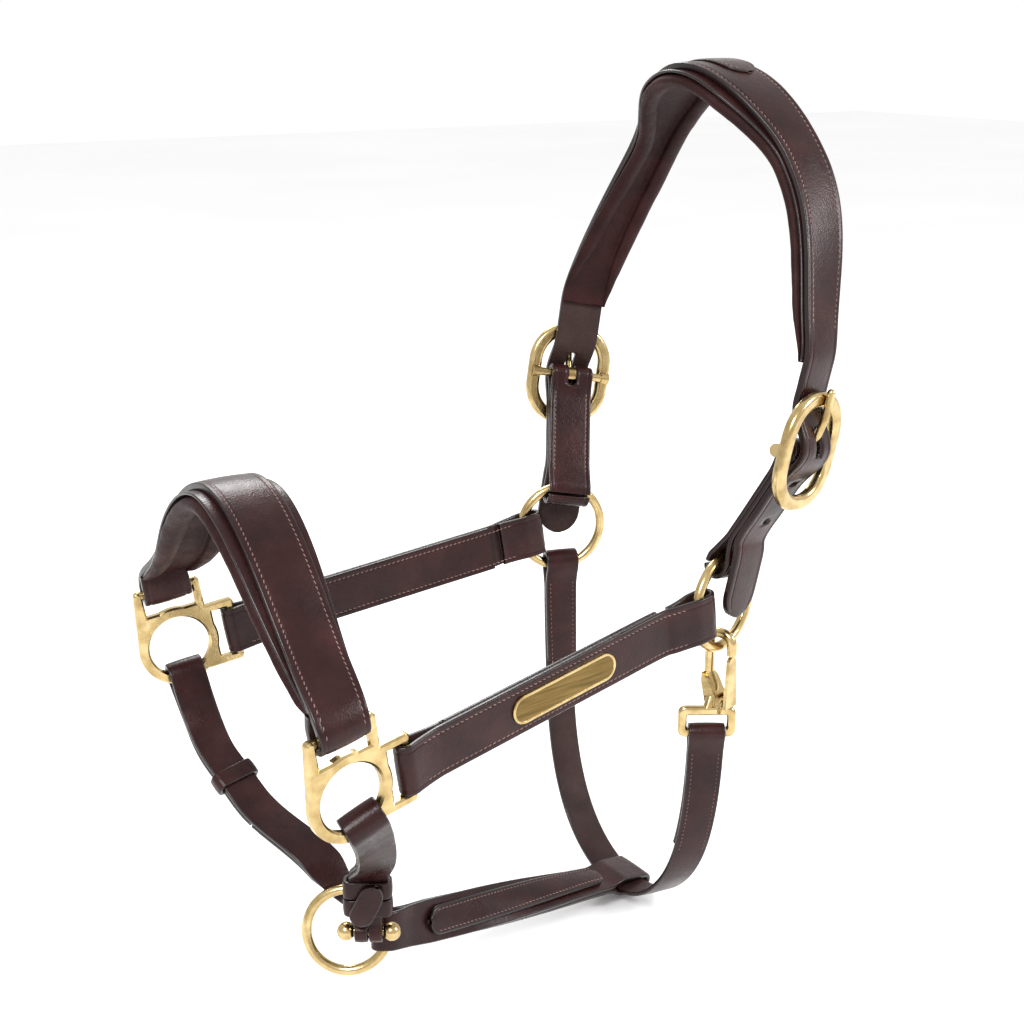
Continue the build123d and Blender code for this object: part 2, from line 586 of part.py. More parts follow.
def hanging_loop(rim, tangent, to_centre, run, reach):
    """The folded top of a chin strap round the rim of a square, drawn in the open part."""
    across = (tangent - run * tangent.dot(run)).normalized()
    plane = Plane(origin=rim, x_dir=run, z_dir=across)
    end = (to_centre.dot(plane.x_dir) * rim_sag, to_centre.dot(plane.y_dir) * rim_sag)
    with BuildSketch(plane.offset(-CHIN_WIDTH / 2)) as fold:
        slot_between((0, 0), end, rim_eye + PLY, mode=Mode.ADD)
        teardrop(rim_eye + PLY, PLY + JOIN_STEP, reach, 0)
        slot_between((0, 0), end, rim_eye)
        Polygon((0, rim_eye), (reach - 12, 0.6), (reach - 12, -0.6), (0, -rim_eye), align=None,
                mode=Mode.SUBTRACT)
    extrude(fold.sketch, amount=CHIN_WIDTH)
    return across


def bolt_tab(plane, reach):
    """The narrow folded end of a chin strap round the bolt, drawn in the open part."""
    with BuildSketch(plane.offset(-TAB_WIDTH / 2)) as fold:
        teardrop(tab_eye + PLY, PLY - JOIN_STEP, reach, 0)
        Circle(tab_eye, mode=Mode.SUBTRACT)
    extrude(fold.sketch, amount=TAB_WIDTH)


knot_top = in_chin(0, 0, KNOT_TOP)
near_run = (knot_top - near_rim).normalized()
near_reach = (knot_top - near_rim).length
with BuildPart() as near_chin_strap:
    near_across = hanging_loop(near_rim, near_flat, near_inward, near_run, NEAR_LOOP_REACH)
    band([station(near_rim + near_run * (NEAR_LOOP_REACH - 8), near_across, near_run, CHIN_WIDTH - 0.6),
          station(near_rim + near_run * near_reach * 0.8, blend(near_across, chin_right, 0.5), near_run,
                  CHIN_WIDTH),
          station(knot_top, chin_right, blend(near_run, -Z, 0.6), CHIN_WIDTH),
          station(in_chin(0, 0, KNOT_TOP - 6), chin_right, -Z, CHIN_WIDTH),
          station(in_chin(0, 0, KNOT_BOTTOM), chin_right, -Z, CHIN_WIDTH)], -PLY, PLY)
    bolt_tab(Plane(origin=in_chin(TAB_OFFSET, 0, 0), x_dir=Z, z_dir=chin_right), KNOT_BOTTOM + 3)
save(near_chin_strap, "near_chin_strap")

for number, name in enumerate(("lower_knot_keeper", "upper_knot_keeper")):
    height = KNOT_BOTTOM + 0.5 + number * (KEEPER_WIDTH + 0.8)
    with BuildPart() as knot_keeper:
        with BuildSketch(Plane(origin=in_chin(0, 0, height), x_dir=chin_right, z_dir=Z)):
            RectangleRounded(CHIN_WIDTH + 2 * (KEEPER_CLEARANCE + KEEPER_PLY),
                             2 * (PLY + KEEPER_CLEARANCE + KEEPER_PLY), KEEPER_PLY)
            Rectangle(CHIN_WIDTH + 2 * KEEPER_CLEARANCE, 2 * (PLY + KEEPER_CLEARANCE), mode=Mode.SUBTRACT)
        extrude(amount=KEEPER_WIDTH)
    save(knot_keeper, name)

off_turn = in_chin(*OFF_CHIN_TURN)
off_run = (off_turn - off_rim).normalized()
keeper_at = off_rim + off_run * KEEPER_PLACE + Vector(*OFF_CHIN_BOW)
off_start = (keeper_at - off_run * OFF_STRAIGHT / 2 - off_rim).normalized()
off_wide = (X - off_run * X.dot(off_run)).normalized()
with BuildPart() as off_chin_strap:
    off_across = hanging_loop(off_rim, off_flat, off_inward, off_start, OFF_LOOP_REACH)
    band([station(off_rim + off_start * (OFF_LOOP_REACH - 8), off_across, off_start, CHIN_WIDTH - 0.6),
          station(keeper_at - off_run * OFF_STRAIGHT / 2, off_wide, off_run, CHIN_WIDTH),
          station(keeper_at + off_run * OFF_STRAIGHT / 2, off_wide, off_run, CHIN_WIDTH),
          station(off_turn, blend(off_wide, chin_right, 0.5), off_run, CHIN_WIDTH),
          station(in_chin(-13, 22.5, 8), chin_right, blend(off_run, -chin_away, 0.5), CHIN_WIDTH - 7),
          station(in_chin(-TAB_OFFSET, 16, 1), chin_right, -chin_away, TAB_WIDTH + 0.6),
          station(in_chin(-TAB_OFFSET, 9, 0), chin_right, -chin_away, TAB_WIDTH - 0.6)], -PLY, PLY)
    bolt_tab(Plane(origin=in_chin(-TAB_OFFSET, 0, 0), x_dir=chin_away, z_dir=-chin_right), 12)
save(off_chin_strap, "off_chin_strap")

with BuildPart() as chin_keeper:
    with BuildSketch(Plane(origin=keeper_at - off_run * KEEPER_WIDTH / 2, x_dir=off_wide,
                           z_dir=off_run)):
        RectangleRounded(CHIN_WIDTH + 2 * (KEEPER_CLEARANCE + KEEPER_PLY),
                         2 * (PLY + KEEPER_CLEARANCE + KEEPER_PLY), KEEPER_PLY)
        Rectangle(CHIN_WIDTH + 2 * KEEPER_CLEARANCE, 2 * (PLY + KEEPER_CLEARANCE), mode=Mode.SUBTRACT)
    extrude(amount=KEEPER_WIDTH)
save(chin_keeper, "chin_keeper")

# ================================================================ throat strap
off_ring_at = Vector(ring_at.X, -ring_at.Y, ring_at.Z)
off_ring_forward = Vector(ring_forward.X, -ring_forward.Y, 0)
off_ring_out = Vector(ring_out.X, -ring_out.Y, 0)
throat_start = off_ring_at - Z * RING_RADIUS
snap_bar = Vector(*SNAP_EYE)
snap_wide = Vector(cos(radians(SNAP_YAW)), sin(radians(SNAP_YAW)), 0)
throat_eye = WIRE_RADIUS + SWING_SLACK
throat_sag = ring_sag(RING_RADIUS, NARROW_WIDTH)
with BuildLine() as throat_line:
    Spline(throat_start, *THROAT_POINTS, snap_bar, tangents=[(0, 0, -1), Z + snap_wide.cross(Z) * 0.15])
throat_stations = []
for point, along, t in run_along(throat_line.line, 33):
    turned = blend(-off_ring_forward, X, min(1.0, 4 * t)) if t < 0.5 else blend(X, snap_wide, 2 * t - 1)
    throat_stations.append(station(point, turned, along, NARROW_WIDTH))
lap = 7
with BuildPart() as throat_strap:
    band(throat_stations[1:-1], -PLY, 0)
    band(throat_stations[1:lap], 0, PLY)
    band(throat_stations[-lap:-1], 0, PLY)
    fold_plane = Plane(origin=throat_start, x_dir=-Z, z_dir=off_ring_forward)
    with BuildSketch(fold_plane.offset(-NARROW_WIDTH / 2)):
        slot_between((0, 0), (-throat_sag, 0), throat_eye + PLY, mode=Mode.ADD)
        teardrop(throat_eye + PLY, PLY, 14, 0)
        slot_between((0, 0), (-throat_sag, 0), throat_eye)
    extrude(amount=NARROW_WIDTH)
    snap_run = -(throat_line.line % 1)
    snap_across = (snap_wide - snap_run * snap_wide.dot(snap_run)).normalized()
    with BuildSketch(Plane(origin=snap_bar, x_dir=snap_run, z_dir=snap_across).offset(-NARROW_WIDTH / 2)):
        teardrop(EYE_BAR + LOOSE_GAP + PLY, PLY, 14, 0)
        Circle(EYE_BAR + LOOSE_GAP, mode=Mode.SUBTRACT)
    extrude(amount=NARROW_WIDTH)
save(throat_strap, "throat_strap")

# ================================================================ connecting strap
wire_right = in_chin(CHIN_RING_SHIFT[0] + CHIN_RING_RADIUS, CHIN_RING_SHIFT[1], CHIN_RING_SHIFT[2])
loop_point, loop_across, loop_along, loop_width = throat_stations[THROAT_LOOP_STEP]
loop_up = loop_along.cross(loop_across)
loop_at = loop_point - loop_up * PLY / 2
connecting_run = (loop_at - wire_right).normalized()
connecting_reach = (loop_at - wire_right).length
flat_run = (connecting_run - chin_ring_up * connecting_run.dot(chin_ring_up)).normalized()
chin_sag = ring_sag(CHIN_RING_RADIUS, NARROW_WIDTH)
loop_front = connecting_reach - NARROW_WIDTH / 2 - LOOP_WALL


def connecting_station(distance, width):
    turn = min(1.0, max(0.0, (distance - 8) / (connecting_reach * 0.8)))
    across = blend(chin_ring_up, -loop_along, turn)
    return station(wire_right + connecting_run * distance, across, connecting_run, width)


connecting_steps = [12 + (loop_front - 12) * i / 9 for i in range(10)]
with BuildPart() as connecting_strap:
    fold_plane = Plane(origin=wire_right, x_dir=flat_run, z_dir=chin_ring_up)
    fold_end = (-chin_right.dot(flat_run) * chin_sag, -chin_right.dot(fold_plane.y_dir) * chin_sag)
    with BuildSketch(fold_plane.offset(-NARROW_WIDTH / 2)):
        teardrop(WIRE_RADIUS + LOOSE_GAP + PLY, PLY, 16, 0)
        slot_between((0, 0), fold_end, WIRE_RADIUS + LOOSE_GAP + PLY, mode=Mode.ADD)
        slot_between((0, 0), fold_end, WIRE_RADIUS + LOOSE_GAP)
    extrude(amount=NARROW_WIDTH)
    band([connecting_station(step, CONNECTING_WIDTH) for step in connecting_steps], -PLY, PLY)
    with BuildSketch(Plane(origin=loop_at - loop_along * CONNECTING_WIDTH / 2, x_dir=loop_across,
                           z_dir=loop_along)):
        RectangleRounded(NARROW_WIDTH + 2 * (LOOP_WALL + LOOSE_GAP), LOOP_HEIGHT + 2 * PLY,
                         LOOP_HEIGHT / 2 + PLY - 0.1)
        Rectangle(NARROW_WIDTH + 2 * LOOSE_GAP, LOOP_HEIGHT, mode=Mode.SUBTRACT)
    extrude(amount=CONNECTING_WIDTH)
save(connecting_strap, "connecting_strap")

with BuildPart() as connecting_filler:
    band([connecting_station(step, CONNECTING_FILLER_WIDTH) for step in connecting_steps[1:-1]],
         PLY + STITCHED_GAP, PLY + CONNECTING_FILLER_THICKNESS)
save(connecting_filler, "connecting_filler")

# ================================================================ snap hook
ring_bottom = ring_at - Z * RING_RADIUS
hook_plane = Plane(origin=ring_bottom, x_dir=ring_out, z_dir=ring_forward)     # sketch x out, y up
eye_top = snap_bar + Z * (EYE_HEIGHT - EYE_WIRE)
eye_plane = Plane(origin=snap_bar, x_dir=snap_wide, z_dir=snap_wide.cross(Z))


def in_hook(out, up):
    return ring_bottom + ring_out * out + Z * up


with BuildPart() as snap_hook:
    with BuildSketch(eye_plane.offset(-EYE_WIRE / 2)):
        with Locations((0, (EYE_HEIGHT - EYE_WIRE) / 2)):
            RectangleRounded(EYE_WIDTH, EYE_HEIGHT, 4)
            RectangleRounded(EYE_WIDTH - 2 * EYE_WIRE, EYE_HEIGHT - 2 * EYE_WIRE, 1, mode=Mode.SUBTRACT)
    extrude(amount=EYE_WIRE)
    fillet(snap_hook.edges().filter_by(lambda edge: abs((edge % 0.5).dot(eye_plane.z_dir)) < 0.5), 1.5)
    with BuildSketch(eye_plane.offset(-EYE_WIRE / 2)):
        Rectangle(NARROW_WIDTH + 1, EYE_WIRE + 1)
    extrude(amount=EYE_WIRE, mode=Mode.SUBTRACT)
    with BuildSketch(Plane(origin=snap_bar - snap_wide * EYE_WIDTH / 2.3, z_dir=snap_wide)):
        Circle(EYE_BAR)
    extrude(amount=EYE_WIDTH / 1.15)
    with BuildLine() as hook_line:
        FilletPolyline(eye_top, in_hook(-3.0, -24), in_hook(-HOOK_REACH, -16),
                       in_hook(-HOOK_REACH, HOOK_REACH), in_hook(HOOK_REACH, HOOK_REACH),
                       in_hook(HOOK_REACH, -4), radius=5.5)
    with BuildSketch(Plane(origin=hook_line.line @ 0, z_dir=hook_line.line % 0)):
        Circle(HOOK_WIRE)
    sweep(path=hook_line.line)
    with BuildSketch(hook_plane.offset(-BOSS_WIDTH / 2)):
        Polygon((-4.5, EYE_REACH), (4.0, EYE_REACH), (5.0, GATE_FOOT), (1.0, GATE_FOOT + 2), (-4.0, -19),
                (-HOOK_REACH - 1.5, -16), (-HOOK_REACH - 1.5, -21), align=None)
        with Locations((GATE_PIN_OUT, GATE_FOOT)):
            Circle(2.2)
    extrude(amount=BOSS_WIDTH)
    with BuildSketch(hook_plane.offset(-KNUCKLE_WIDTH / 2 - 0.2)):
        with Locations((4.7, GATE_FOOT + 0.25)):
            Rectangle(8.6, 7.5)
    extrude(amount=KNUCKLE_WIDTH + 0.4, mode=Mode.SUBTRACT)
    with BuildSketch(hook_plane.offset(-BOSS_WIDTH)):
        with Locations((GATE_PIN_OUT, GATE_FOOT)):
            Circle(GATE_PIN_RADIUS)
    extrude(amount=2 * BOSS_WIDTH, mode=Mode.SUBTRACT)
save(snap_hook, "snap_hook")

with BuildPart() as snap_pin:
    with BuildSketch(hook_plane.offset(-BOSS_WIDTH / 2 - 0.4)):
        with Locations((GATE_PIN_OUT, GATE_FOOT)):
            Circle(GATE_PIN_RADIUS)
    extrude(amount=BOSS_WIDTH + 0.8)
save(snap_pin, "snap_pin")

with BuildPart() as snap_gate:
    with BuildSketch(hook_plane.offset(-KNUCKLE_WIDTH / 2)):
        with Locations((GATE_PIN_OUT, GATE_FOOT)):
            Circle(2.0)
        Polygon((GATE_PIN_OUT, GATE_FOOT - 2), (GATE_INNER + 0.5, GATE_FOOT - 2),
                (GATE_INNER + 0.5, GATE_FOOT + 3), (GATE_PIN_OUT, GATE_FOOT + 2), align=None)
    extrude(amount=KNUCKLE_WIDTH)
    gate_face = Plane(origin=in_hook(GATE_INNER, 0), x_dir=-ring_forward, z_dir=ring_out)
    with BuildSketch(gate_face):
        Polygon((-GATE_FOOT_WIDTH / 2, GATE_FOOT - 3), (GATE_FOOT_WIDTH / 2, GATE_FOOT - 3),
                (GATE_TIP_WIDTH / 2, GATE_TOP - GATE_TIP_WIDTH / 2),
                (-GATE_TIP_WIDTH / 2, GATE_TOP - GATE_TIP_WIDTH / 2), align=None)
        with Locations((0, GATE_TOP - GATE_TIP_WIDTH / 2)):
            Circle(GATE_TIP_WIDTH / 2)
    extrude(amount=GATE_THICKNESS)
    with BuildSketch(hook_plane.offset(-BOSS_WIDTH)):
        with Locations((GATE_PIN_OUT, GATE_FOOT)):
            Circle(GATE_PIN_RADIUS + GATE_PIN_CLEARANCE)
    extrude(amount=2 * BOSS_WIDTH, mode=Mode.SUBTRACT)
save(snap_gate, "snap_gate")


# ================================================================ sided pieces
SIDED = {"buckle": near_buckle, "tongue": near_tongue, "buckle_strap": near_buckle_strap, "ring": near_ring,
         "cheek_strap": near_cheek_strap, "cheek_lining": near_cheek_lining, "square": near_square}
for name, near_piece in SIDED.items():
    save(near_piece, f"near_{name}")
    with BuildPart() as off_piece:
        mirror(near_piece.part, about=Plane.XZ)
    save(off_piece, f"off_{name}")
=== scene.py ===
import math

import bmesh
import bpy
import numpy as np
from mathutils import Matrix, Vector, noise


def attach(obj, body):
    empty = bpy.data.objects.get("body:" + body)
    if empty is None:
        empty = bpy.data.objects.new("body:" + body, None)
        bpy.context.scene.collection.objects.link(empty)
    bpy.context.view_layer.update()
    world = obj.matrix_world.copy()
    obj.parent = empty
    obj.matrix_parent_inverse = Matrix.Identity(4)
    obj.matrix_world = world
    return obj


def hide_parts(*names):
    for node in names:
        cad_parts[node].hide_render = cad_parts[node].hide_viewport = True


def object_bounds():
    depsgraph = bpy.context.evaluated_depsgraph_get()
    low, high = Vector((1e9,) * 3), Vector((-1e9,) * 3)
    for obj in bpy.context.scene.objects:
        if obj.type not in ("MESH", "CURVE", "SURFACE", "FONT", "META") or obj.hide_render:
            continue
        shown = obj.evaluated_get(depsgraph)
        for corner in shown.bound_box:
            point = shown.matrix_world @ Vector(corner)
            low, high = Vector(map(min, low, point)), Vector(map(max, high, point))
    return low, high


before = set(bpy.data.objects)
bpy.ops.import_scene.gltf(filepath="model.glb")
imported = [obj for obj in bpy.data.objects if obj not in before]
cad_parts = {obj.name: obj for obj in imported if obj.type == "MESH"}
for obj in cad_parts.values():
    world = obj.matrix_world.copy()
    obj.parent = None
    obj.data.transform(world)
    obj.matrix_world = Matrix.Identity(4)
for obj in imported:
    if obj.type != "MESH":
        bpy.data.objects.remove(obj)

# Leather headcollar. Lengths are in millimetres until a mesh is made, and MM turns them into metres.
# The camera, the lights and the materials' bump are in metres.
# Buckle and cheek pieces are built on the near side (-Y) and then mirrored to the off side.
MM = 0.001
cad_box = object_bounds()
X, Z = Vector((1, 0, 0)), Vector((0, 0, 1))


# ---------------------------------------------------------------- dimensions shared with the CAD part
STRAP_WIDTH = 25.0
NARROW_WIDTH = 19.0
PLY = 2.4
CROWN_PLY = 3.4
BACKING_PLY = 1.6
GAP = 0.05
LOOSE_GAP = 0.4
SAG_ROOM = 0.9
CROWN_PAD_THICKNESS = 7.4
CROWN_PAD_WIDTH = 50.0        # 6 mm less than the CAD lining
CROWN_EAR_WIDTH = 31.0
CROWN_STRAP_WIDTH = 34.0
PATCH_LENGTH = 44.0
PATCH_WIDTH = 20.0
PATCH_SETBACK = 6.0
CROWN_POINTS = [(12.0, -55.0, -25.0), (11.0, -74.0, -53.0), (-3.5, -95.0, -108.0)]
BUCKLE_CENTRE = (-14.5, -99.2, -166.8)
BUCKLE_YAW = 17.0             # outer faces turn towards the back of the head
BUCKLE_RAKE = 11.5            # lean of the top, backwards
BUCKLE_LEAN = 3.5             # lean of the top, outwards
BUCKLE_HEIGHT = 60.0
BUCKLE_RIM = 7.6
BAR_RADIUS = 2.5
RING_DROP = 87.0
RING_TUCK = 21.1
TAIL_REACH = 29.0             # billet's tip, below the top of the cheek ring
TONGUE_SLOT = 5.6
TONGUE_HOLE_HEIGHT = 5.5      # middle of the billet's tongue hole, above the bar
TONGUE_HOLE_LENGTH = 15.0
BILLET_HOLE_PITCH = 22.0
BILLET_HOLE_RADIUS = 2.2
RING_RADIUS = 24.0
WIRE_RADIUS = 2.6
SWING_SLACK = 1.3
CHEEK_DROP = 8.64
CHEEK_SPLAY = 6.8
CHEEK_REACH = 230.4
CHEEK_FOLD_ROOM = 3.0
PLATE_LENGTH = 64.0
PLATE_WIDTH = 14.5
PLATE_THICKNESS = 1.2
PLATE_POSITION = 110.0
SQUARE_HOLE_RADIUS = 16.0
SQUARE_RIM = 5.4
SQUARE_THICKNESS = 5.0
SQUARE_TOP = 32.5
SQUARE_BACK = 30.5
SQUARE_BAR_RADIUS = 2.4
NEAR_LOOP_ANGLE = -75.0
OFF_LOOP_ANGLE = -90.0
NOSE_POINTS = [(-268.0, 0.0, -171.0), (-268.0, -52.0, -199.0), (-268.0, -86.0, -231.5)]
NOSE_PAD_THICKNESS = 9.0
NOSE_PAD_WIDTH = 43.0
NOSE_STRAP_WIDTH = 29.0
CHIN_WIDTH = 19.0
CHIN_CENTRE = (-226.7, -40.0, -395.5)
CHIN_YAW = -33.0
CHIN_RING_RADIUS = 20.6
CHIN_RING_SHIFT = (-12.0, 11.5, -6.5)
CHIN_RING_TILT = 15.0
BOLT_RADIUS = 2.4
TAB_WIDTH = 6.6
TAB_OFFSET = 3.6
NEAR_LOOP_REACH = 46.0
OFF_LOOP_REACH = 34.0
KNOT_TOP = 30.0
KNOT_BOTTOM = 10.0
OFF_STRAIGHT = 44.0
KEEPER_PLACE = 62.0
KEEPER_TRAVEL = 17.0
OFF_CHIN_BOW = (-7.0, 6.0, -8.0)
OFF_CHIN_TURN = (-24.0, 27.0, 20.0)
KEEPER_PLY = 2.0
KEEPER_WIDTH = 9.0
KEEPER_CLEARANCE = 0.4
SNAP_EYE = (-44.5, -73.0, -321.0)
SNAP_YAW = -32.0
THROAT_POINTS = [(-38.0, 71.5, -330.0), (-38.5, 64.0, -388.0), (-40.0, 44.0, -424.0), (-42.0, 10.0, -442.0),
                 (-42.0, -20.0, -441.0), (-40.5, -45.0, -421.0), (-40.0, -62.0, -380.0)]
CONNECTING_WIDTH = 22.0
FILLER_WIDTH = 15.0
FILLER_THICKNESS = 3.4
LOOP_HEIGHT = 6.4
EYE_BAR = 2.0


# ---------------------------------------------------------------- directions and places, as in the CAD part
def blend(first, second, share):
    return (first * (1 - share) + second * share).normalized()


buckle_up = Vector((math.sin(math.radians(BUCKLE_RAKE)), -math.sin(math.radians(BUCKLE_LEAN)),
                    math.cos(math.radians(BUCKLE_RAKE)))).normalized()
ring_out = Vector((math.sin(math.radians(BUCKLE_YAW)), -math.cos(math.radians(BUCKLE_YAW)), 0))
ring_forward = ring_out.cross(Z)
buckle_out = (ring_out - buckle_up * ring_out.dot(buckle_up)).normalized()
buckle_forward = buckle_out.cross(buckle_up)
buckle_at = Vector(BUCKLE_CENTRE)
ring_at = buckle_at - buckle_out * RING_TUCK - buckle_up * RING_DROP
to_buckle = buckle_at - ring_at
wire_up = (to_buckle - ring_out * to_buckle.dot(ring_out)).normalized()
wire_top = ring_at + wire_up * RING_RADIUS
cheek_run = Vector((-math.cos(math.radians(CHEEK_SPLAY)) * math.cos(math.radians(CHEEK_DROP)),
                    -math.sin(math.radians(CHEEK_SPLAY)) * math.cos(math.radians(CHEEK_DROP)),
                    -math.sin(math.radians(CHEEK_DROP))))
cheek_flat = (cheek_run - ring_out * cheek_run.dot(ring_out)).normalized()
cheek_up = ring_out.cross(cheek_flat)
if cheek_up.z < 0:
    cheek_up = -cheek_up
cheek_out = cheek_up.cross(cheek_run).normalized()
square_at = ring_at + cheek_run * CHEEK_REACH
square_x = -cheek_run
square_y = cheek_out.cross(square_x)
chin_at = Vector(CHIN_CENTRE)
chin_right = Vector((math.cos(math.radians(CHIN_YAW)), math.sin(math.radians(CHIN_YAW)), 0))
chin_away = Vector((-math.sin(math.radians(CHIN_YAW)), math.cos(math.radians(CHIN_YAW)), 0))
chin_ring_up = Z * math.cos(math.radians(CHIN_RING_TILT)) + chin_away * math.sin(math.radians(CHIN_RING_TILT))
snap_wide = Vector((math.cos(math.radians(SNAP_YAW)), math.sin(math.radians(SNAP_YAW)), 0))


def in_chin(right, away, up):
    return chin_at + chin_right * right + chin_away * away + Z * up


def ring_sag(radius, width):
    return radius - math.sqrt(radius ** 2 - (width / 2) ** 2) + SAG_ROOM


# ---------------------------------------------------------------- curves
def spline(points, start, end, count):
    """A smooth curve through the points, leaving along start and arriving along end."""
    p = np.array([tuple(point) for point in points])
    steps = np.linalg.norm(np.diff(p, axis=0), axis=1)
    size = len(p)
    system = np.zeros((size, size))
    right = np.zeros((size, 3))
    system[0, 0] = system[-1, -1] = 1
    right[0] = Vector(start).normalized()
    right[-1] = Vector(end).normalized()
    for i in range(1, size - 1):
        before, after = steps[i - 1], steps[i]
        system[i, i - 1] = after
        system[i, i] = 2 * (after + before)
        system[i, i + 1] = before
        right[i] = 3 * (after * (p[i] - p[i - 1]) / before + before * (p[i + 1] - p[i]) / after)
    slopes = np.linalg.solve(system, right)
    ends = np.concatenate([[0], np.cumsum(steps)])
    found = []
    for value in np.linspace(0, ends[-1], count):
        i = min(size - 2, int(np.searchsorted(ends, value, side="right")) - 1)
        t = (value - ends[i]) / steps[i]
        leaving = (2 * t ** 3 - 3 * t ** 2 + 1) * p[i] + (t ** 3 - 2 * t ** 2 + t) * steps[i] * slopes[i]
        found.append(Vector(leaving + (3 * t ** 2 - 2 * t ** 3) * p[i + 1]
                            + (t ** 3 - t ** 2) * steps[i] * slopes[i + 1]))
    return found


def finer(stations, step):
    """Stations (point, across, width) along a Catmull-Rom curve, about step apart."""
    found = []
    last = len(stations) - 1
    for i in range(last):
        quad = [stations[max(0, i - 1)], stations[i], stations[i + 1], stations[min(last, i + 2)]]
        p0, p1, p2, p3 = [one[0] for one in quad]
        pieces = max(1, round((p2 - p1).length / step))
        for k in range(pieces):
            t = k / pieces
            point = 0.5 * (2 * p1 + (p2 - p0) * t + (2 * p0 - 5 * p1 + 4 * p2 - p3) * t ** 2
                           + (3 * p1 - p0 - 3 * p2 + p3) * t ** 3)
            found.append((point, blend(quad[1][1], quad[2][1], t), quad[1][2] * (1 - t) + quad[2][2] * t))
    found.append(stations[-1])
    return found


def smoothed(stations, count):
    """The same stations on a curve with no kinks."""
    points = [station[0] for station in stations]
    line = spline([tuple(point) for point in points], points[1] - points[0], points[-1] - points[-2], count)
    reach = [0.0]
    for before, after in zip(points, points[1:]):
        reach.append(reach[-1] + (after - before).length)
    found = []
    for number, point in enumerate(line):
        at = reach[-1] * number / (count - 1)
        i = max(k for k in range(len(points) - 1) if reach[k] <= at + 1e-9)
        share = min(1.0, (at - reach[i]) / (reach[i + 1] - reach[i]))
        _, across, width = stations[i]
        _, next_across, next_width = stations[i + 1]
        found.append((point, blend(across, next_across, share), width * (1 - share) + next_width * share))
    return found


def framed(stations):
    """Adds each station's run and outward direction: (point, across, out, along, width)."""
    found = []
    for i, (point, across, width) in enumerate(stations):
        along = (stations[min(i + 1, len(stations) - 1)][0] - stations[max(i - 1, 0)][0]).normalized()
        square = (across - along * across.dot(along)).normalized()
        found.append((point, square, along.cross(square), along, width))
    return found


def mirrored(stations):
    return [(Vector((p.x, -p.y, p.z)), Vector((a.x, -a.y, a.z)), w) for p, a, w in reversed(stations)]


def arc(centre, radius, start, end, count=14):
    """Points on a circle in a plane, from start to end degrees."""
    turns = [math.radians(start + (end - start) * i / (count - 1)) for i in range(count)]
    return [(centre[0] + radius * math.cos(t), centre[1] + radius * math.sin(t)) for t in turns]


# ---------------------------------------------------------------- meshes
def new_piece(name, points, faces, indices, materials, smooth=True):
    mesh = bpy.data.meshes.new(name)
    mesh.from_pydata([tuple(p * MM) for p in points], [], faces)
    for material in materials:
        mesh.materials.append(material)
    for polygon, index in zip(mesh.polygons, indices):
        polygon.material_index = index
        polygon.use_smooth = smooth
    mesh.validate()
    mesh.update()
    piece = bpy.data.objects.new(name, mesh)
    bpy.context.collection.objects.link(piece)
    return piece


def strap_section(width, inner, outer, dome=0.35, corner=0.7, groove=None):
    """A strap's cross-section as (across, out, material): 0 outer face, 1 edge, 2 inner face."""
    half = width / 2
    corner = min(corner, (outer - inner) * 0.45, half * 0.4)
    flat = half - corner
    marks = [0.0, flat * 0.45, flat * 0.75]
    if groove:
        lines = [half - groove - 0.75, half - groove, half - groove + 0.75]
        lines = [min(max(line, flat * 0.76), flat - 0.05 * (3 - k)) for k, line in enumerate(lines)]
    else:
        lines = [flat * 0.85, flat * 0.92, flat * 0.97]
    marks += lines + [flat]
    side = []
    for k, x in enumerate(marks):
        sunk = 0.4 if groove and k == 4 else 0
        side.append((x, outer + dome * (1 - (x / half) ** 2) - sunk, 0))
    low = dome * (1 - (flat / half) ** 2)
    for turn in (60, 30, 0):
        side.append((flat + corner * math.cos(math.radians(turn)),
                     outer + low - corner + corner * math.sin(math.radians(turn)), 1))
    for turn in (0, -30, -60, -90):
        side.append((flat + corner * math.cos(math.radians(turn)),
                     inner + corner + corner * math.sin(math.radians(turn)), 1))
    side.append((flat * 0.5, inner, 2))
    side.append((0.0, inner, 2))
    other = [(-x, z, m) for x, z, m in reversed(side[1:-1])]
    return side + other


ROLL_STEPS = 13               # steps round each roll of a padded lining


def pad_section(width, thickness, outer):
    """A padded lining's cross-section: two rolls with a flat channel between them on the inner side."""
    half = width / 2
    roll = min(half * 0.5, thickness * 0.75)
    middle = half - roll
    flat_side = [(share * middle, outer, 0) for share in (-1.0, -0.6, -0.3, 0.0, 0.3, 0.6, 1.0)]
    found = list(flat_side)
    for k in range(1, ROLL_STEPS):
        turn = math.radians(90 - 270 * k / ROLL_STEPS)
        found.append((middle + roll * math.cos(turn),
                      outer - thickness / 2 + thickness / 2 * math.sin(turn), 0))
    channel = outer - thickness * 0.3
    found.append((middle - roll * 0.92, channel, 0))
    found.append((max(0.4, middle - roll * 1.25), channel + 0.2, 0))
    found.append((0.0, channel, 0))
    left = [(-x, z, m) for x, z, m in reversed(found[len(flat_side):-1])]
    return found + left


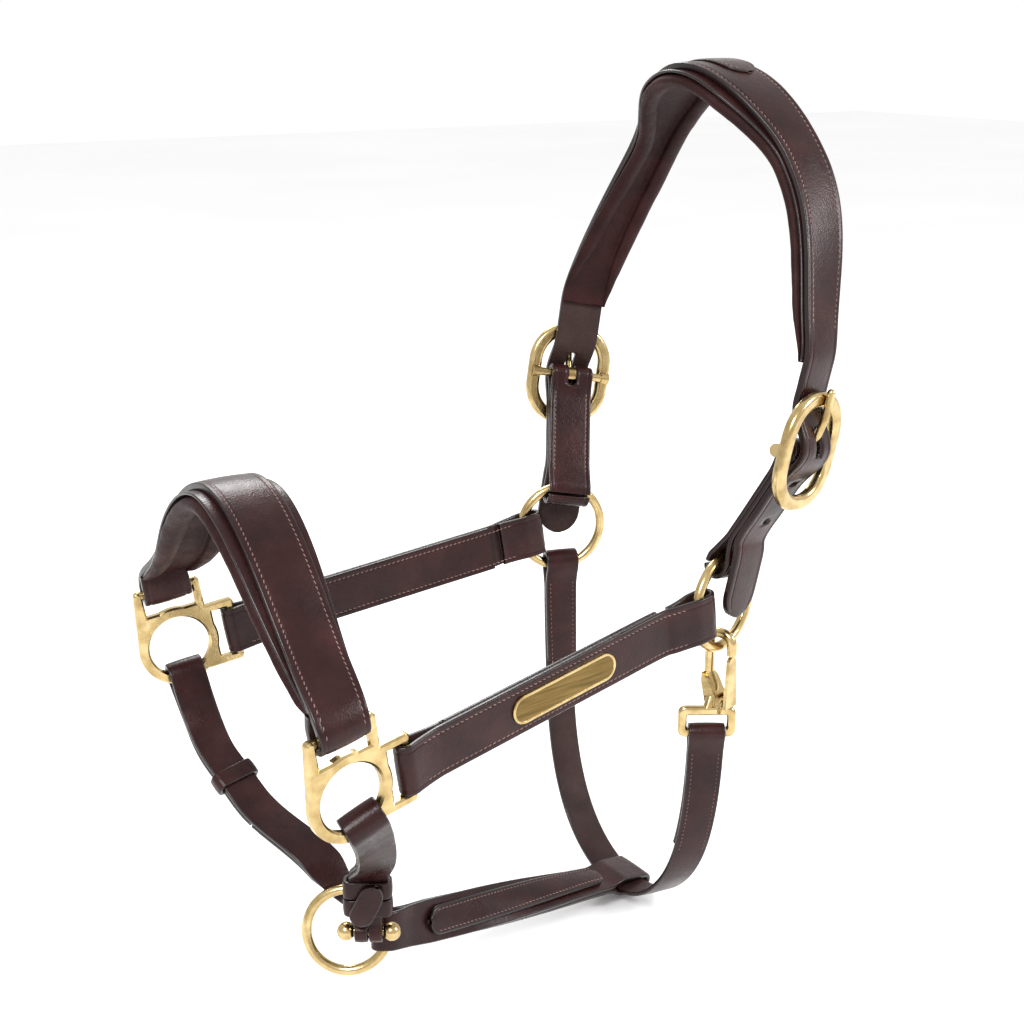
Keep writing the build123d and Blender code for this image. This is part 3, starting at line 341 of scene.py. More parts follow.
def loft(name, stations, section, materials, body, node=None):
    """Sweeps a cross-section along framed stations and closes both ends.
    section(i, t, width) gives its points as (across, out, material)."""
    points, faces, indices = [], [], []
    count = len(stations)
    for i, (point, across, out, along, width) in enumerate(stations):
        ring = section(i, i / (count - 1), width)
        for x, z, m in ring:
            points.append(point + across * x + out * z)
        size = len(ring)
        if i:
            base, before = i * size, (i - 1) * size
            for k in range(size):
                nxt = (k + 1) % size
                faces.append((before + k, before + nxt, base + nxt, base + k))
                indices.append(max(ring[k][2], ring[nxt][2]))
    faces.append(tuple(range(size)))
    faces.append(tuple((count - 1) * size + k for k in reversed(range(size))))
    indices += [1, 1]
    indices = [min(index, len(materials) - 1) for index in indices]
    piece = new_piece(name, points, faces, indices, materials)
    settle(piece, body, node)
    return piece


def settle(piece, body, node=None):
    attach(piece, body)
    if node:
        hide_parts(node)


def strap(name, stations, inner, outer, body, node=None, step=2.0, dome=0.35, groove=None, tips=(0, 0),
          corner=0.7):
    """A flat leather layer. tips are the lengths over which its two ends round off."""
    path = finer(stations, step)
    lengths = [0.0]
    for before, after in zip(path, path[1:]):
        lengths.append(lengths[-1] + (after[0] - before[0]).length)
    total = lengths[-1]

    def section(i, t, width):
        for reach, tip in ((lengths[i], tips[0]), (total - lengths[i], tips[1])):
            if tip and reach < tip:
                width *= max(0.16, math.sqrt(max(0.0, 1 - (1 - reach / tip) ** 2)))
        return strap_section(width, inner, outer, dome, corner, groove)

    return loft(name, framed(path), section, STRAP_FACES, body, node)


STITCH_PITCH = 2.7
STITCH_GAP = 0.5              # bare leather between two stitches
STITCH_SUNK = 0.22            # thread's middle, below the leather's surface
STITCH_HALF_WIDTH = 0.27
STITCH_HALF_HEIGHT = 0.33
STITCH_DIVE = 0.405           # how far a stitch's two ends go down into their holes
STITCH_SIDES = 6
STITCH_SHAPE = ((-0.5, 0.25), (-0.36, 0.85), (-0.12, 1.0), (0.12, 1.0), (0.36, 0.85), (0.5, 0.25))


def add_stitch(points, faces, middle, run, aside, out):
    """One stitch: a short tube that thins and dives at both ends. STITCH_SHAPE has its (place, thickness)."""
    base = len(points)
    for reach, fat in STITCH_SHAPE:
        drop = -STITCH_DIVE * (abs(reach) * 2) ** 4
        for k in range(STITCH_SIDES):
            turn = 2 * math.pi * k / STITCH_SIDES
            points.append(middle + run * (reach * (STITCH_PITCH - STITCH_GAP))
                          + aside * (STITCH_HALF_WIDTH * fat * math.cos(turn))
                          + out * (STITCH_HALF_HEIGHT * fat * math.sin(turn) + drop))
    last = len(points) - STITCH_SIDES
    for low in range(base, last, STITCH_SIDES):
        for k in range(STITCH_SIDES):
            nxt = (k + 1) % STITCH_SIDES
            faces.append((low + k, low + nxt, low + STITCH_SIDES + nxt, low + STITCH_SIDES + k))
    faces.append(tuple(base + k for k in reversed(range(STITCH_SIDES))))
    faces.append(tuple(last + k for k in range(STITCH_SIDES)))


def stitches(name, stations, inset, height, body, start=0.0, end=None, sides=(-1, 1), slant=14, dome=0.35):
    """Rows of thread along a strap's edges, inset from them. sides says which of the two edges have one."""
    path = framed(finer(stations, 1.0))
    points, faces = [], []
    length = 0.0
    due = start + STITCH_PITCH / 2
    total = sum((after[0] - before[0]).length for before, after in zip(path, path[1:]))
    stop = (end if end is not None else total) - STITCH_PITCH / 2
    for before, after in zip(path, path[1:]):
        step = (after[0] - before[0]).length
        while due <= length + step and due <= stop:
            share = (due - length) / step
            centre = before[0] * (1 - share) + after[0] * share
            _, across, out, along, width = after
            for side in sides:
                lean = math.radians(slant) * side
                run = along * math.cos(lean) + across * math.sin(lean)
                x = side * (width / 2 - inset)
                lift = dome * (1 - (2 * x / width) ** 2)
                middle = centre + across * x + out * (height + lift - STITCH_SUNK)
                add_stitch(points, faces, middle, run, out.cross(run), out)
            due += STITCH_PITCH
        length += step
    piece = new_piece(name, points, faces, [0] * len(faces), [thread])
    settle(piece, body)
    return piece


def other_side(piece, name, body, node=None):
    """The same piece mirrored to the off side."""
    mesh = piece.data.copy()
    mesh.name = name
    for vertex in mesh.vertices:
        vertex.co.y = -vertex.co.y
    mesh.flip_normals()
    copy = bpy.data.objects.new(name, mesh)
    bpy.context.collection.objects.link(copy)
    settle(copy, body, node)
    return copy


# ---------------------------------------------------------------- materials
def new_material(name):
    material = bpy.data.materials.new(name)
    material.use_nodes = True
    nodes, links = material.node_tree.nodes, material.node_tree.links
    shader = nodes["Principled BSDF"]
    place = nodes.new("ShaderNodeTexCoord").outputs["Object"]
    return material, nodes, links, shader, place


def texture(nodes, links, place, kind, scale, **settings):
    node = nodes.new(kind)
    node.inputs["Scale"].default_value = scale
    for key, value in settings.items():
        node.inputs[key].default_value = value
    links.new(place, node.inputs["Vector"])
    return node


def ramp(nodes, links, source, stops):
    node = nodes.new("ShaderNodeValToRGB")
    links.new(source, node.inputs["Fac"])
    while len(node.color_ramp.elements) < len(stops):
        node.color_ramp.elements.new(0.5)
    for element, (position, color) in zip(node.color_ramp.elements, stops):
        element.position = position
        element.color = (*color, 1) if isinstance(color, tuple) else (color, color, color, 1)
    return node.outputs["Color"]


def bump(nodes, links, height, strength, distance, before=None):
    node = nodes.new("ShaderNodeBump")
    node.inputs["Strength"].default_value = strength
    node.inputs["Distance"].default_value = distance
    links.new(height, node.inputs["Height"])
    if before:
        links.new(before, node.inputs["Normal"])
    return node.outputs["Normal"]


def leather(name, dark, mid, light, rough, grain_size=0.9, grain_depth=0.25, crease_depth=0.3, coat=0.0,
            specular=0.3):
    """Dyed leather: mottled colour, pores, long soft creases and uneven polish."""
    material, nodes, links, shader, place = new_material(name)
    mottle = texture(nodes, links, place, "ShaderNodeTexNoise", 42, Detail=5, Roughness=0.6)
    links.new(ramp(nodes, links, mottle.outputs["Fac"], [(0.28, dark), (0.5, mid), (0.75, light)]),
              shader.inputs["Base Color"])
    polish = texture(nodes, links, place, "ShaderNodeTexNoise", 90, Detail=3)
    links.new(ramp(nodes, links, polish.outputs["Fac"], [(0.3, rough[0]), (0.7, rough[1])]),
              shader.inputs["Roughness"])
    pores = texture(nodes, links, place, "ShaderNodeTexVoronoi", 1000 / grain_size)
    crease = texture(nodes, links, place, "ShaderNodeTexNoise", 260, Detail=6, Roughness=0.7)
    normal = bump(nodes, links, pores.outputs["Distance"], grain_depth, 0.0003)
    normal = bump(nodes, links, crease.outputs["Fac"], crease_depth, 0.0006, normal)
    links.new(normal, shader.inputs["Normal"])
    shader.inputs["Specular IOR Level"].default_value = specular
    shader.inputs["Coat Weight"].default_value = coat
    shader.inputs["Coat Roughness"].default_value = 0.22
    return material


def metal(name, dark, light, rough, stretch=(1, 1, 1), scale=130, depth=0.12):
    """Cast or brushed brass with uneven polish and faint tarnish."""
    material, nodes, links, shader, place = new_material(name)
    mapping = nodes.new("ShaderNodeMapping")
    mapping.inputs["Scale"].default_value = stretch
    links.new(place, mapping.inputs["Vector"])
    tarnish = texture(nodes, links, mapping.outputs["Vector"], "ShaderNodeTexNoise", scale, Detail=5)
    links.new(ramp(nodes, links, tarnish.outputs["Fac"], [(0.3, dark), (0.62, light)]),
              shader.inputs["Base Color"])
    links.new(ramp(nodes, links, tarnish.outputs["Fac"], [(0.3, rough[1]), (0.7, rough[0])]),
              shader.inputs["Roughness"])
    fine = texture(nodes, links, mapping.outputs["Vector"], "ShaderNodeTexNoise", 900, Detail=3)
    links.new(bump(nodes, links, fine.outputs["Fac"], depth, 0.0004), shader.inputs["Normal"])
    shader.inputs["Metallic"].default_value = 1.0
    return material


grain = leather("leather_grain", (0.0110, 0.0027, 0.0026), (0.0200, 0.0050, 0.0048), (0.0350, 0.0100, 0.0092),
                (0.22, 0.38), coat=0.08, specular=0.17)
soft_grain = leather("leather_soft", (0.0110, 0.0028, 0.0027), (0.0190, 0.0050, 0.0048),
                     (0.0340, 0.0102, 0.0096), (0.40, 0.56), grain_size=1.3, grain_depth=0.35, crease_depth=0.9,
                     specular=0.11)
flesh = leather("leather_flesh", (0.014, 0.0058, 0.0050), (0.023, 0.0100, 0.0088), (0.036, 0.0170, 0.0150),
                (0.45, 0.65), grain_size=0.7, grain_depth=0.6, crease_depth=0.6, specular=0.2)
edge_dye = leather("leather_edge", (0.0060, 0.0022, 0.0020), (0.0100, 0.0037, 0.0034),
                   (0.0170, 0.0065, 0.0060), (0.20, 0.34), grain_depth=0.1, crease_depth=0.3, coat=0.15, specular=0.3)
thread = leather("thread", (0.13, 0.080, 0.072), (0.20, 0.130, 0.118), (0.28, 0.19, 0.17), (0.55, 0.7),
                 grain_size=0.3, grain_depth=0.5, crease_depth=0.2, specular=0.15)
brass = metal("brass", (0.36, 0.25, 0.100), (0.58, 0.44, 0.215), (0.15, 0.27))
plate_brass = metal("plate_brass", (0.10, 0.065, 0.020), (0.19, 0.125, 0.042), (0.30, 0.42),
                    stretch=(0.15, 1, 4), scale=220, depth=0.2)
STRAP_FACES = [grain, edge_dye, flesh]     # outer face, edge, inner face
PAD_FACES = [soft_grain]


# ---------------------------------------------------------------- straps folded round metal
FOLD_DOME = 0.25
SEAM = 3.0                    # stitching and its groove, from a strap's edge
HALF_APART = PLY / 2 + 0.03   # each ply's middle, from the line between the two


def folded(name, centre, body, node, start, end, laps=(None, None), groove=None, step=1.6):
    """A strap whose ply turns back round metal at both ends. centre runs along the middle of the two plies.
    start and end are (fold radius, flat stretch, lead). laps are the lengths that turn back, None for half."""
    path = framed(finer(centre, step))
    lengths = [0.0]
    for before, after in zip(path, path[1:]):
        lengths.append(lengths[-1] + (after[0] - before[0]).length)
    total = lengths[-1]

    def gap(reach):
        widest = HALF_APART
        for (radius, flat, lead), distance in ((start, reach), (end, total - reach)):
            share = min(1.0, max(0.0, 1 - (distance - flat) / lead))
            widest = max(widest, HALF_APART + (radius - HALF_APART) * share ** 1.5)
        return widest

    front = [(p + out * gap(s), a, w) for (p, a, out, t, w), s in zip(path, lengths)]
    back = [(p - out * gap(s), a, w) for (p, a, out, t, w), s in zip(path, lengths)]
    half_turn = [math.pi * k / 12 for k in range(1, 12)]
    p, a, out, t, w = path[0]
    turn = [(p - out * start[0] * math.cos(q) - t * start[0] * math.sin(q), a, w) for q in half_turn]
    lap = laps[0] if laps[0] is not None else total / 2
    result = [one for one, s in zip(back, lengths) if s < lap][::-1] + turn + front
    p, a, out, t, w = path[-1]
    turn = [(p + out * end[0] * math.cos(q) + t * end[0] * math.sin(q), a, w) for q in half_turn]
    lap = laps[1] if laps[1] is not None else total / 2 - 0.2
    result += turn + [one for one, s in zip(back, lengths) if total - s < lap][::-1]
    piece = strap(name, result, -PLY / 2, PLY / 2, body, node, step=3.0, dome=FOLD_DOME, groove=groove)
    return piece, front, back


def punch(piece, cutter):
    """Cuts the cutter's space out of a piece and removes the cutter."""
    modifier = piece.modifiers.new("punch", "BOOLEAN")
    modifier.operation = "DIFFERENCE"
    modifier.solver = "EXACT"
    modifier.object = cutter
    bpy.context.view_layer.update()
    result = bpy.data.meshes.new_from_object(piece.evaluated_get(bpy.context.evaluated_depsgraph_get()))
    piece.modifiers.clear()
    piece.data = result
    bpy.data.objects.remove(cutter)


BAR_POINTS = 24


def stadium_bar(name, centre, long_dir, wide_dir, out_dir, length, width, depth):
    """A round-ended bar, used for cutting slots."""
    points, outline = [], []
    straight = max(0.0, (length - width) / 2)
    for k in range(BAR_POINTS):
        turn = 2 * math.pi * (k + 0.5) / BAR_POINTS
        outline.append((math.copysign(straight, math.cos(turn)) + width / 2 * math.cos(turn),
                        width / 2 * math.sin(turn)))
    for z in (-depth, depth):
        points += [centre + long_dir * x + wide_dir * y + out_dir * z for x, y in outline]
    faces = [(k, (k + 1) % BAR_POINTS, BAR_POINTS + (k + 1) % BAR_POINTS, BAR_POINTS + k)
             for k in range(BAR_POINTS)]
    faces += [tuple(reversed(range(BAR_POINTS))), tuple(range(BAR_POINTS, 2 * BAR_POINTS))]
    cutter = new_piece(name, points, faces, [0] * len(faces), [edge_dye])
    normals_outward(cutter)
    return cutter


def normals_outward(piece):
    mesh = bmesh.new()
    mesh.from_mesh(piece.data)
    bmesh.ops.recalc_face_normals(mesh, faces=mesh.faces)
    mesh.to_mesh(piece.data)
    mesh.free()


def joined(cutters):
    for other in cutters[1:]:
        base = cutters[0].data
        mesh = bmesh.new()
        mesh.from_mesh(base)
        mesh.from_mesh(other.data)
        mesh.to_mesh(base)
        mesh.free()
        bpy.data.objects.remove(other)
    return cutters[0]


# ---------------------------------------------------------------- crown
def beside_buckle(out, up):
    return buckle_at + buckle_out * out + buckle_up * up


CROWN_TOP = Vector((0, 0, CROWN_PAD_THICKNESS + BACKING_PLY + 2 * GAP))
CROWN_SAMPLES = 49
CROWN_DOME = 0.5
CROWN_SEAM = 3.2
NARROWED_AT = 0.42            # share of the way down where a layer is down to its width at the ears
NARROWING = 0.30
END_FROM, END_OVER = 0.55, 0.45      # where and over what its width goes over to that at the buckle
TURN_FROM, TURN_OVER = 0.45, 0.55    # where and over what it turns to face as the buckle does
crown_line = spline([CROWN_TOP] + CROWN_POINTS + [beside_buckle(-3.6, BUCKLE_HEIGHT / 2 + 12)],
                    (0, -1, 0), -buckle_up, CROWN_SAMPLES)


def crown_half(poll_width, ear_width, end_width):
    """The near half of a crown layer, from the poll to the buckle."""
    found = []
    for i, point in enumerate(crown_line):
        t = i / (CROWN_SAMPLES - 1)
        share = min(1.0, max(0.0, (NARROWED_AT - t) / NARROWING))
        width = (ear_width + (poll_width - ear_width) * share * share * (3 - 2 * share)
                 + (end_width - ear_width) * max(0.0, (t - END_FROM) / END_OVER))
        found.append((point, blend(X, -buckle_forward, max(0.0, (t - TURN_FROM) / TURN_OVER)), width))
    return found


fold_out = BAR_RADIUS + LOOSE_GAP + PLY
wire = wire_top - buckle_at
strap_length = math.hypot(wire.dot(buckle_out), wire.dot(buckle_up))
strap_down = (wire.dot(buckle_out) / strap_length, wire.dot(buckle_up) / strap_length)
strap_side = (-strap_down[1], strap_down[0])


def beside_strap(distance, offset):
    """A place that far down the buckle strap and that far off its middle, as (out, up) from the bar."""
    return (strap_down[0] * distance + strap_side[0] * offset,
            strap_down[1] * distance + strap_side[1] * offset)


eye_out = WIRE_RADIUS + SWING_SLACK + PLY
# The billet's route as (out, up) from the bar: inside the rim, out over the bar, in again and down the strap.
billet = [(-3.6, BUCKLE_HEIGHT / 2 + 1), (-2.8, BUCKLE_HEIGHT / 2 - BUCKLE_RIM - 4), (fold_out + 0.3, 4.5),
          (fold_out + 0.3, -3.5), (-3.5, -17.5), beside_strap(34, PLY + 0.3),
          beside_strap(strap_length - 15, PLY + 0.3), beside_strap(strap_length - 5, eye_out + 1.2),
          (beside_strap(strap_length, eye_out + 1.2)[0] + 2.0, wire.dot(buckle_up) - TAIL_REACH)]
crown_near = crown_half(CROWN_STRAP_WIDTH, STRAP_WIDTH + 1, STRAP_WIDTH)
billet_near = [(beside_buckle(*point), -buckle_forward, STRAP_WIDTH) for point in billet]
crown_all = mirrored((crown_near + billet_near)[1:]) + crown_near + billet_near
stitched_near = [one for i, one in enumerate(crown_near) if i / (CROWN_SAMPLES - 1) <= 0.93]
crown = strap("crown_top_strap", crown_all, 0, CROWN_PLY, "headpiece", "crown_strap", dome=CROWN_DOME,
              groove=CROWN_SEAM, tips=(13, 13))
normals_outward(crown)
CUT_DEPTH = 30.0              # more than the billet's distance from the bar
cutters = []
for side in (1, -1):
    flip = Vector((1, side, 1))
    at, back, out, up = [v * flip for v in (buckle_at, -buckle_forward, buckle_out, buckle_up)]
    cutters.append(stadium_bar("cutter", at + up * TONGUE_HOLE_HEIGHT, up, back, out, TONGUE_HOLE_LENGTH,
                               TONGUE_SLOT, CUT_DEPTH))
    for number in (1, 2):
        cutters.append(stadium_bar("cutter", at + up * (4 - BILLET_HOLE_PITCH * number), up, back, out,
                                   2 * BILLET_HOLE_RADIUS + 0.1, 2 * BILLET_HOLE_RADIUS, CUT_DEPTH))
punch(crown, joined(cutters))
stitches("crown_stitching", mirrored(stitched_near[1:]) + stitched_near, CROWN_SEAM, CROWN_PLY, "headpiece",
         dome=CROWN_DOME)

lining_near = crown_half(CROWN_PAD_WIDTH, CROWN_EAR_WIDTH, CROWN_EAR_WIDTH - 2)
lining_all = mirrored(lining_near[1:]) + lining_near
backing_all = [(p, a, w - 2.6) for p, a, w in lining_all]
strap("crown_backing_layer", backing_all, -BACKING_PLY - GAP, -GAP, "headpiece", "crown_backing", dome=0.0)


PAD_WAVES = ((160, 0.00028), (420, 0.00012))   # noise scale, depth in metres


def pad(name, stations, thickness, fade, power, body, node):
    path = framed(finer(stations, 2.5))
    count = len(path)

    def section(i, t, width):
        far = abs(2 * t - 1)
        deep = thickness * (1 - fade * far ** power)
        tip = min(1.0, (1 - far) * 14 + 0.35)
        return pad_section(width * (0.86 + 0.14 * tip), deep * tip, -BACKING_PLY - 2 * GAP)

    piece = loft(name, path, section, PAD_FACES, body, node)
    for vertex in piece.data.vertices:
        wave = sum(noise.noise(vertex.co * scale) * depth for scale, depth in PAD_WAVES)
        vertex.co += vertex.normal * wave
    modifier = piece.modifiers.new("smooth", "SUBSURF")
    modifier.levels = modifier.render_levels = 1
    return piece


pad("crown_pad", lining_all, CROWN_PAD_THICKNESS, 0.78, 4, "headpiece", "crown_lining")
PATCH_FACE = CROWN_PLY + 1.5
PATCH_SEAM = 2.4
patch_half = [(p + X * PATCH_SETBACK, a, PATCH_WIDTH) for p, a, w in crown_near
              if -p.y < PATCH_LENGTH / 2 + 0.5]
patch_line = mirrored(patch_half[1:]) + patch_half
strap("crown_oval_patch", patch_line, CROWN_PLY + 0.35, PATCH_FACE, "headpiece", "crown_patch", dome=0.25,
      groove=PATCH_SEAM, tips=(10, 10))


def oval_line(stations, inset):
    """A closed line that follows a round-ended patch, inset from its edge."""
    path = framed(finer(stations, 0.8))
    reach = [0.0]
    for before, after in zip(path, path[1:]):
        reach.append(reach[-1] + (after[0] - before[0]).length)
    total = reach[-1]
    left, right = [], []
    for (p, a, out, t, w), s in zip(path, reach):
        near_end = min(s, total - s) - inset
        if near_end < 0:
            continue
        half = w / 2 - inset
        if near_end < half:
            half = math.sqrt(max(0.0, half ** 2 - (half - near_end) ** 2))
        left.append((p - a * half, a, 2 * inset))
        right.append((p + a * half, a, 2 * inset))
    return left, right


for number, line in enumerate(oval_line(patch_line, PATCH_SEAM)):
    stitches(f"patch_stitching_{number + 1}", line, PATCH_SEAM, PATCH_FACE, "headpiece", sides=(1,), slant=0,
             dome=0.2)

# ---------------------------------------------------------------- buckle straps
WHOLE_BACK = 1000             # the upper fold's end runs down the whole back of the strap
sag = ring_sag(RING_RADIUS, STRAP_WIDTH)
inward = (-wire_up.dot(buckle_out), -wire_up.dot(buckle_up))
eye_at = beside_strap(strap_length, 0)
eye_end = (eye_at[0] + inward[0] * sag, eye_at[1] + inward[1] * sag)
strap_centre = [(beside_buckle(*beside_strap(distance, 0)), -buckle_forward, STRAP_WIDTH)
                for distance in (0, 12, 26, 40, strap_length - 10)]
strap_centre.append((beside_buckle(*eye_end), -buckle_forward, STRAP_WIDTH))
buckle_strap, front, back = folded(
    "near_buckle_strap_leather", strap_centre, "headpiece", "near_buckle_strap",
    start=(BAR_RADIUS + LOOSE_GAP + PLY / 2, 0.5, 14),
    end=(WIRE_RADIUS + SWING_SLACK + PLY / 2 + 0.4, sag, 14), laps=(WHOLE_BACK, 0), groove=SEAM)
BAR_SLOT_LENGTH = 12.5        # slot for the tongue in the fold round the bar
BAR_SLOT_DEPTH = 9.0
normals_outward(buckle_strap)
punch(buckle_strap, stadium_bar("cutter", beside_buckle(0, 0.5), buckle_up, buckle_forward, buckle_out,
                                BAR_SLOT_LENGTH, TONGUE_SLOT, BAR_SLOT_DEPTH))
other_side(buckle_strap, "off_buckle_strap_leather", "headpiece", "off_buckle_strap")
rows = stitches("near_buckle_strap_stitching", front[6:-8], SEAM, PLY / 2, "headpiece", dome=FOLD_DOME)
other_side(rows, "off_buckle_strap_stitching", "headpiece")
rows = stitches("near_buckle_strap_lining_stitching", back[::-1][8:-6], SEAM, PLY / 2, "headpiece", dome=FOLD_DOME)
other_side(rows, "off_buckle_strap_lining_stitching", "headpiece")

# ---------------------------------------------------------------- cheek straps
cheek_end = CHEEK_REACH - SQUARE_BACK
wire_front = cheek_flat * RING_RADIUS
front_at = ring_at + wire_front
start_at = front_at - cheek_flat * (sag + CHEEK_FOLD_ROOM)
cheek_start = cheek_run * wire_front.dot(cheek_run) + ring_at
after_ring = front_at + cheek_run * 12 - (front_at - cheek_start) * 0.6
cheek_centre = [(start_at, -cheek_up, STRAP_WIDTH), (after_ring, -cheek_up, STRAP_WIDTH)]
for distance in (46, 80, 120, 160, 185, cheek_end):
    cheek_centre.append((ring_at + cheek_run * distance, -cheek_up, STRAP_WIDTH))
cheek_strap, front, back = folded(
    "near_cheek_strap_leather", cheek_centre, "nosepiece", "near_cheek_strap",
    start=(WIRE_RADIUS + LOOSE_GAP + PLY / 2, sag + CHEEK_FOLD_ROOM, 18),
    end=(SQUARE_BAR_RADIUS + LOOSE_GAP + PLY / 2, 0.5, 18), laps=(24, 24), groove=SEAM)
other_side(cheek_strap, "off_cheek_strap_leather", "nosepiece", "off_cheek_strap")
rows = stitches("near_cheek_stitching", front[9:-5], SEAM, PLY / 2, "nosepiece", dome=FOLD_DOME)
other_side(rows, "off_cheek_stitching", "nosepiece")
rows = stitches("near_cheek_lining_stitching", back[::-1][5:-9], SEAM, PLY / 2, "nosepiece", dome=FOLD_DOME)
other_side(rows, "off_cheek_lining_stitching", "nosepiece")
lining_line = [(p, a, w) for p, a, w in back[::-1] if 44 < (p - ring_at).dot(cheek_run) < cheek_end - 20]
cheek_lining = strap("near_cheek_lining_leather", lining_line, -PLY / 2, PLY / 2, "nosepiece",
                     "near_cheek_lining", dome=FOLD_DOME, groove=SEAM)
other_side(cheek_lining, "off_cheek_lining_leather", "nosepiece", "off_cheek_lining")


def plate_rings():
    """Outline offsets and heights of the nameplate, from its lower edge to its sunk middle."""
    return [(0.0, 0.0), (0.0, PLATE_THICKNESS - 0.35), (0.35, PLATE_THICKNESS), (1.1, PLATE_THICKNESS),
            (1.45, PLATE_THICKNESS - 0.35), (PLATE_WIDTH / 2 - 0.02, PLATE_THICKNESS - 0.35)]


PLATE_POINTS = 64


def nameplate():
    """A round-ended plate with a raised border and a blank, sunk middle."""
    middle = ring_at + cheek_run * PLATE_POSITION + cheek_out * (PLY + 0.3)
    straight = (PLATE_LENGTH - PLATE_WIDTH) / 2
    rings = plate_rings()
    points, faces, indices = [], [], []
    for number, (inset, height) in enumerate(rings):
        for k in range(PLATE_POINTS):
            turn = 2 * math.pi * (k + 0.5) / PLATE_POINTS
            x = math.copysign(straight, math.cos(turn)) + (PLATE_WIDTH / 2 - inset) * math.cos(turn)
            y = (PLATE_WIDTH / 2 - inset) * math.sin(turn)
            points.append(middle - cheek_run * x + cheek_up * y + cheek_out * height)
        if number:
            low, high = (number - 1) * PLATE_POINTS, number * PLATE_POINTS
            for k in range(PLATE_POINTS):
                nxt = (k + 1) % PLATE_POINTS
                faces.append((low + k, low + nxt, high + nxt, high + k))
                indices.append(0 if number < len(rings) - 1 else 1)
    last = (len(rings) - 1) * PLATE_POINTS
    faces.append(tuple(range(last, last + PLATE_POINTS)))
    faces.append(tuple(reversed(range(PLATE_POINTS))))
    indices += [1, 1]
    plate = new_piece("cheek_nameplate", points, faces, indices, [brass, plate_brass], smooth=False)
    settle(plate, "nosepiece", "nameplate")


nameplate()

# ---------------------------------------------------------------- noseband
bar_eye = SQUARE_BAR_RADIUS + LOOSE_GAP
nose_bar = square_at + square_y * SQUARE_TOP
nose_end = nose_bar + cheek_out * bar_eye
NOSE_SAMPLES = 45
NOSE_DOME = 0.6
PADDED_SHARE = 10 / 11        # how far each half of the noseband is padded
nose_line = spline(NOSE_POINTS + [tuple(nose_end)], (0, -1, 0), -square_y, NOSE_SAMPLES)


def nose_half(middle_width, last=1.0):
    found = []
    for i, point in enumerate(nose_line):
        t = i / (NOSE_SAMPLES - 1)
        if t > last + 0.001:
            break
        width = STRAP_WIDTH + (middle_width - STRAP_WIDTH) * (1 - t ** 2)
        found.append((point, blend(X, square_x, t), width))
    return found


nose_near = nose_half(NOSE_STRAP_WIDTH)
turned_up = [(nose_bar + cheek_out * x + square_y * y, square_x, STRAP_WIDTH)
             for x, y in arc((0, 0), bar_eye, -15, -180, 8)]
turned_up += [(nose_bar - cheek_out * (bar_eye + 0.2) + square_y * 5, square_x, STRAP_WIDTH),
              (nose_bar - cheek_out * (bar_eye - 0.6) + square_y * 11, square_x, STRAP_WIDTH - 1)]
nose_all = mirrored((nose_near + turned_up)[1:]) + nose_near + turned_up
strap("noseband_top_strap", nose_all, 0, CROWN_PLY, "nosepiece", "noseband_strap", dome=NOSE_DOME,
      groove=SEAM, step=1.6)
stitches("noseband_stitching", mirrored(nose_near[1:]) + nose_near, SEAM, CROWN_PLY, "nosepiece",
         dome=NOSE_DOME)
nose_inner = nose_half(NOSE_PAD_WIDTH, PADDED_SHARE)
nose_inner_all = mirrored(nose_inner[1:]) + nose_inner
strap("noseband_backing_layer", [(p, a, w - 3.0) for p, a, w in nose_inner_all], -BACKING_PLY - GAP, -GAP,
      "nosepiece", "noseband_backing", dome=0.0)
pad("noseband_pad", nose_inner_all, NOSE_PAD_THICKNESS, 0.72, 3, "nosepiece", "noseband_lining")

# ---------------------------------------------------------------- chin straps
rim_radius = SQUARE_HOLE_RADIUS + SQUARE_RIM / 2
rim_eye = math.hypot(SQUARE_THICKNESS, SQUARE_RIM) / 2 + 3 * LOOSE_GAP
rim_sag = ring_sag(rim_radius, CHIN_WIDTH)
tab_eye = BOLT_RADIUS + LOOSE_GAP


def on_rim(angle, side):
    """A place on a square's rim, the strap's width direction there and the way to the hole's centre."""
    turn = math.radians(angle)
    flip = Vector((1, side, 1))
    at = (square_at + square_x * rim_radius * math.cos(turn) + square_y * rim_radius * math.sin(turn)) * flip
    return at, square_x * flip, (square_at * flip - at).normalized()


near_rim, near_flat, near_inward = on_rim(NEAR_LOOP_ANGLE, 1)
knot_top = in_chin(0, 0, KNOT_TOP)
near_run = (knot_top - near_rim).normalized()
near_across = (near_flat - near_run * near_flat.dot(near_run)).normalized()
near_reach = (knot_top - near_rim).length
NEAR_BULGE = 4.5
near_centre = [(near_rim + near_inward * rim_sag * 0.7, near_across, CHIN_WIDTH),
               (near_rim + near_run * near_reach * 0.22 + chin_right * NEAR_BULGE * 0.6, near_across,
                CHIN_WIDTH),
               (near_rim + near_run * near_reach * 0.5 + chin_right * NEAR_BULGE,
                blend(near_across, chin_right, 0.2), CHIN_WIDTH),
               (near_rim + near_run * near_reach * 0.8 + chin_right * NEAR_BULGE * 0.7,
                blend(near_across, chin_right, 0.65), CHIN_WIDTH),
               (in_chin(0, 0, KNOT_TOP - 4), chin_right, CHIN_WIDTH),
               (in_chin(0, 0, 18), chin_right, CHIN_WIDTH),
               (in_chin(0.6, 0, KNOT_BOTTOM), chin_right, CHIN_WIDTH - 1),
               (in_chin(TAB_OFFSET * 0.8, 0, 6.5), chin_right, TAB_WIDTH + 1),
               (in_chin(TAB_OFFSET, 0, 0), chin_right, TAB_WIDTH)]
folded("near_chin_strap_leather", smoothed(near_centre, 60), "nosepiece", "near_chin_strap",
       start=(rim_eye + PLY / 2, 2.0, NEAR_LOOP_REACH - 8), end=(tab_eye + PLY / 2, 0.5, 6), step=1.5)


